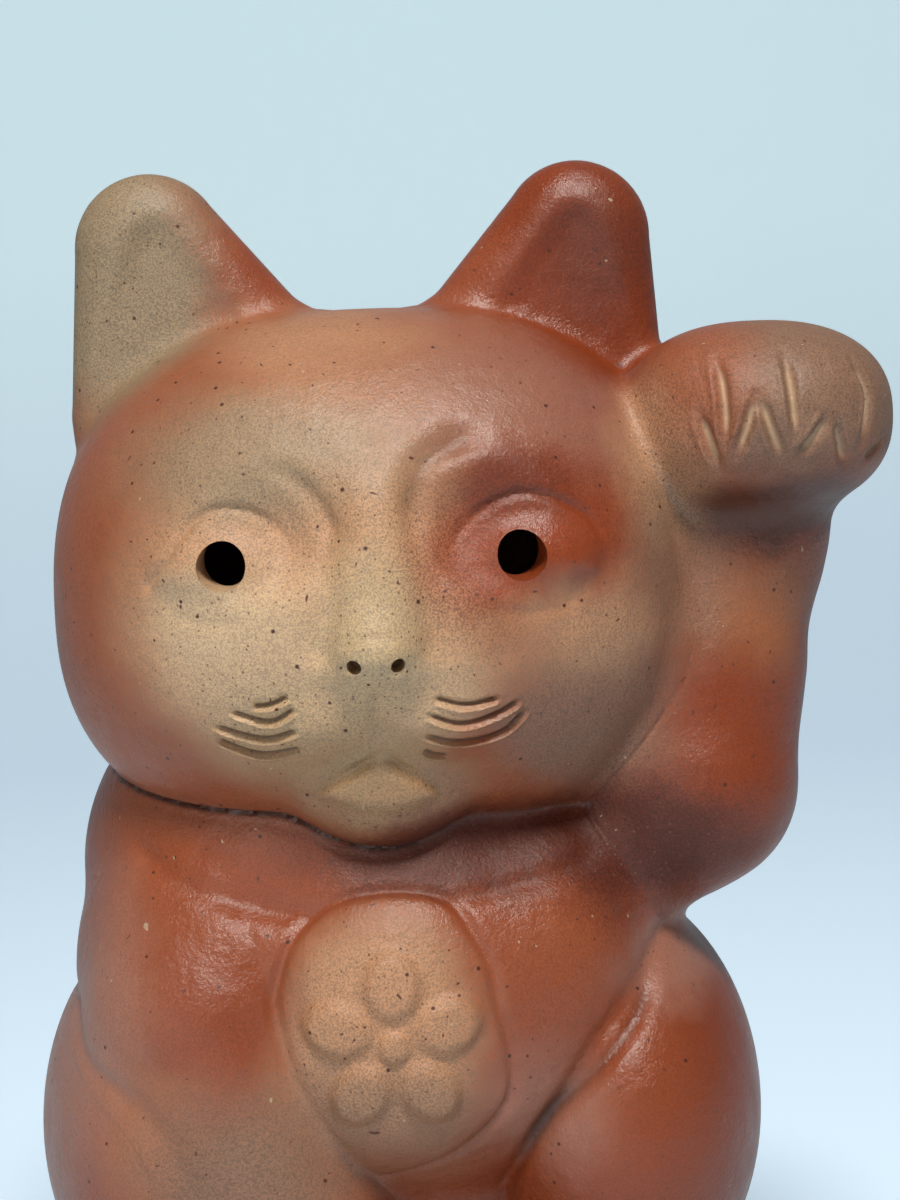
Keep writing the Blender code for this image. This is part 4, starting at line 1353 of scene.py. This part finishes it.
def flashed_stoneware():
    """Unglazed iron-bearing stoneware, wood-fired: the flame reddened it to a satin brown and bared
    clay on the lee side, and drifting ash bleached the face, the medallion and the paw to a dry tan.
    Patches of painted shade, highlight and sheen lie among these, and grooves and creases carry painted
    shade."""
    material, tree, shader, place = new_material("flashed_stoneware")
    drift = noise(tree, place, DRIFT_SIZE, 4.0, 0.6, "Color")
    push = vector_math(tree, "SUBTRACT", drift, (0.5, 0.5, 0.5))
    push = vector_math(tree, "MULTIPLY", push, (DRIFT, DRIFT, DRIFT))
    warped = vector_math(tree, "ADD", place, push)
    mottle = ramp(tree, noise(tree, place, MOTTLE_SIZE, 4.0, 0.62), 0.34, 0.68)
    colour = mix(tree, mottle, tone(CLAY_RED), tone(CLAY_ORANGE))
    matt = None
    grain = noise(tree, place, GRAIN_SIZE, 2.0, 0.6)
    dither = math_node(tree, "MULTIPLY", math_node(tree, "SUBTRACT", grain, 0.5), DITHER)
    # Patches of fire colour, and of painted shade, painted highlight and painted sheen
    for centre, radii, code, strength, edge in FIRE_AND_PAINTED_LIGHT:
        middle = tuple(c / METRE + shift for c, shift in zip(centre, MIDDLE))
        offset = vector_math(tree, "SUBTRACT", warped, middle)
        offset = vector_math(tree, "DIVIDE", offset, tuple(r / METRE for r in radii))
        reach = math_node(tree, "ADD", vector_math(tree, "LENGTH", offset), dither)
        share = ramp(tree, reach, 1.0 + edge, 1.0 - edge, 0.0, strength)
        colour = mix(tree, share, colour, tone(code))
        if code in DRY:
            matt = share if matt is None else math_node(tree, "MAXIMUM", matt, share)
    sand = mix(tree, ramp(tree, grain, 0.38, 0.6), tone(SAND_DARK), tone(SAND_PALE))
    sanded = ramp(tree, matt, 0.0, 0.9, SAND_LEAST, SAND_MOST)
    colour = mix(tree, sanded, colour, sand, "OVERLAY")
    scrape_and_shade_marks = add(tree, "ShaderNodeAttribute", attribute_name="scrape_and_shade").outputs["Fac"]
    colour = mix(tree, ramp(tree, scrape_and_shade_marks, 0.15, 0.9, 0.0, SCRAPED_SHARE), colour, tone(SCRAPED))
    # Painted shade in grooves and creases, where the tint is below nought
    colour = mix(tree, ramp(tree, scrape_and_shade_marks, -0.15, -0.9, 0.0, CREASE_SHADE_SHARE), colour, tone(CREASE_SHADE))
    colour = mix(tree, specks(tree, place, *IRON_SPECKS), colour, tone(IRON))
    colour = mix(tree, specks(tree, warped, *SLAG_SPECKS), colour, tone(SLAG))
    dust = math_node(tree, "MULTIPLY", specks(tree, place, *DUST_SPECKS), matt)
    colour = mix(tree, math_node(tree, "MULTIPLY", dust, DUST_SHARE), colour, tone(DUST))
    chalk = specks(tree, warped, *CHALK_SPECKS)
    colour = mix(tree, math_node(tree, "MULTIPLY", chalk, CHALK_SHARE), colour, tone(CHALK))
    sheen = ramp(tree, noise(tree, place, SHEEN_SIZE, 3.0, 0.6), 0.3, 0.7, SHEEN_LEAST, SHEEN_MOST)
    dull = math_node(tree, "MULTIPLY", matt, DRY_ROUGHNESS)
    rough = math_node(tree, "ADD", sheen, dull)
    lumps = noise(tree, place, LUMP_SIZE, 2.0, 0.5)
    pits = noise(tree, place, PIT_SIZE, 3.0, 0.7)
    lumpy = bump(tree, lumps, LUMP_STRENGTH, LUMP_HEIGHT)
    pitted = bump(tree, pits, PIT_STRENGTH, PIT_HEIGHT, ("Normal", lumpy))
    feed(tree, shader, (("Base Color", colour), ("Roughness", rough), ("Normal", pitted),
                        ("Specular IOR Level", 0.5)))
    return material


def sweep_paper():
    """A seamless paper sweep, matt; the camera sees it brighter than the clay mirrors it."""
    material, tree, shader, place = new_material("sweep_paper")
    cloud = ramp(tree, noise(tree, place, CLOUD_SIZE, 2.0, 0.5), 0.3, 0.7, -CLOUD_DEPTH, CLOUD_DEPTH)
    height = add(tree, "ShaderNodeSeparateXYZ", (("Vector", place),)).outputs["Z"]
    wall = math_node(tree, "ADD", ramp(tree, height, 0.0, SWEEP_FADE), cloud)
    colour = mix(tree, wall, tone(SWEEP_SHADE), tone(SWEEP_TONE))
    glow = ramp(tree, height, 0.0, SWEEP_FADE, FLOOR_GLOW, WALL_GLOW)
    seen = add(tree, "ShaderNodeLightPath").outputs["Is Camera Ray"]
    glow = math_node(tree, "MULTIPLY", glow, ramp(tree, seen, 0.0, 1.0, MIRRORED, 1.0))
    feed(tree, shader, (("Base Color", colour), ("Emission Color", colour), ("Emission Strength", glow),
                        ("Roughness", PAPER_ROUGHNESS), ("Specular IOR Level", PAPER_SHEEN)))
    return material


def sweep():
    """A paper sweep: flat under the cat, curving up behind it."""
    bm = bmesh.new()
    line = [(-SWEEP_FRONT, 0.0), (SWEEP_BACK - SWEEP_BEND, 0.0)]
    for index in range(1, SWEEP_STEPS + 1):
        turn = math.pi / 2.0 * index / SWEEP_STEPS
        line.append((SWEEP_BACK - SWEEP_BEND + SWEEP_BEND * math.sin(turn),
                     SWEEP_BEND - SWEEP_BEND * math.cos(turn)))
    line.append((SWEEP_BACK, SWEEP_TOP))
    rows = [[bm.verts.new((x, y, z)) for x in (-SWEEP_HALF, SWEEP_HALF)] for y, z in line]
    for first, second in zip(rows, rows[1:]):
        bm.faces.new((first[0], first[1], second[1], second[0]))
    item = placed("sweep", bm)
    item.data.shade_smooth()
    item.data.materials.append(sweep_paper())


def lamp(name, spot, aim, size, power, code):
    light = bpy.data.lights.new(name, "AREA")
    light.shape = "DISK"
    light.size = size
    light.energy = power
    light.color = tone(code)[:3]
    item = linked(name, light)
    item.location = spot
    item.rotation_euler = (Vector(aim) - Vector(spot)).to_track_quat("-Z", "Y").to_euler()


def sky():
    """Even, slightly blue room light."""
    world = bpy.data.worlds.new("room")
    world.use_nodes = True
    shader = world.node_tree.nodes["Background"]
    shader.inputs["Color"].default_value = tone(ROOM_TONE)
    shader.inputs["Strength"].default_value = ROOM_LEVEL
    bpy.context.scene.world = world


def camera():
    """Eye level with the head, a hand's reach away, as in the photograph."""
    view = bpy.data.cameras.new("view")
    view.sensor_fit = "VERTICAL"
    view.sensor_height = SENSOR_HEIGHT
    view.lens = SENSOR_HEIGHT / 2.0 / math.tan(VIEW_ANGLE / 2.0)
    view.clip_start = NEAR_CLIP
    item = linked("view", view)
    back = VIEW_REACH * math.cos(VIEW_PITCH)
    x, y, z = VIEW_PIVOT
    spot = Vector((x, y - back, z + VIEW_REACH * math.sin(VIEW_PITCH)))
    look = Vector((math.tan(VIEW_YAW), 1.0, -math.tan(VIEW_PITCH))).to_track_quat("-Z", "Y")
    item.matrix_world = (Matrix.Translation(spot + Vector(MIDDLE)) @ look.to_matrix().to_4x4()
                         @ Matrix.Rotation(-VIEW_ROLL, 4, "Z"))
    bpy.context.scene.camera = item


def build():
    clay = flashed_stoneware()
    for piece in clay_pieces():
        node = piece.name.partition(".")[0]
        sweep_crumbs(piece.data)
        piece.data.transform(Matrix.Translation(MIDDLE))
        piece.name = node + "_fired"
        piece.data.name = piece.name
        piece.data.materials.clear()
        piece.data.materials.append(clay)
        piece.data.shade_smooth()
        piece.data.set_sharp_from_angle(angle=CREASE_ANGLE)
        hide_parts(node)
        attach(piece, "root")


def size_note():
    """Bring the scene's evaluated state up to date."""
    bpy.context.view_layer.update()


bpy.context.scene.view_settings.view_transform = "Standard"
build()
sweep()
sky()
for settings in LAMPS:
    lamp(*settings)
camera()
size_note()
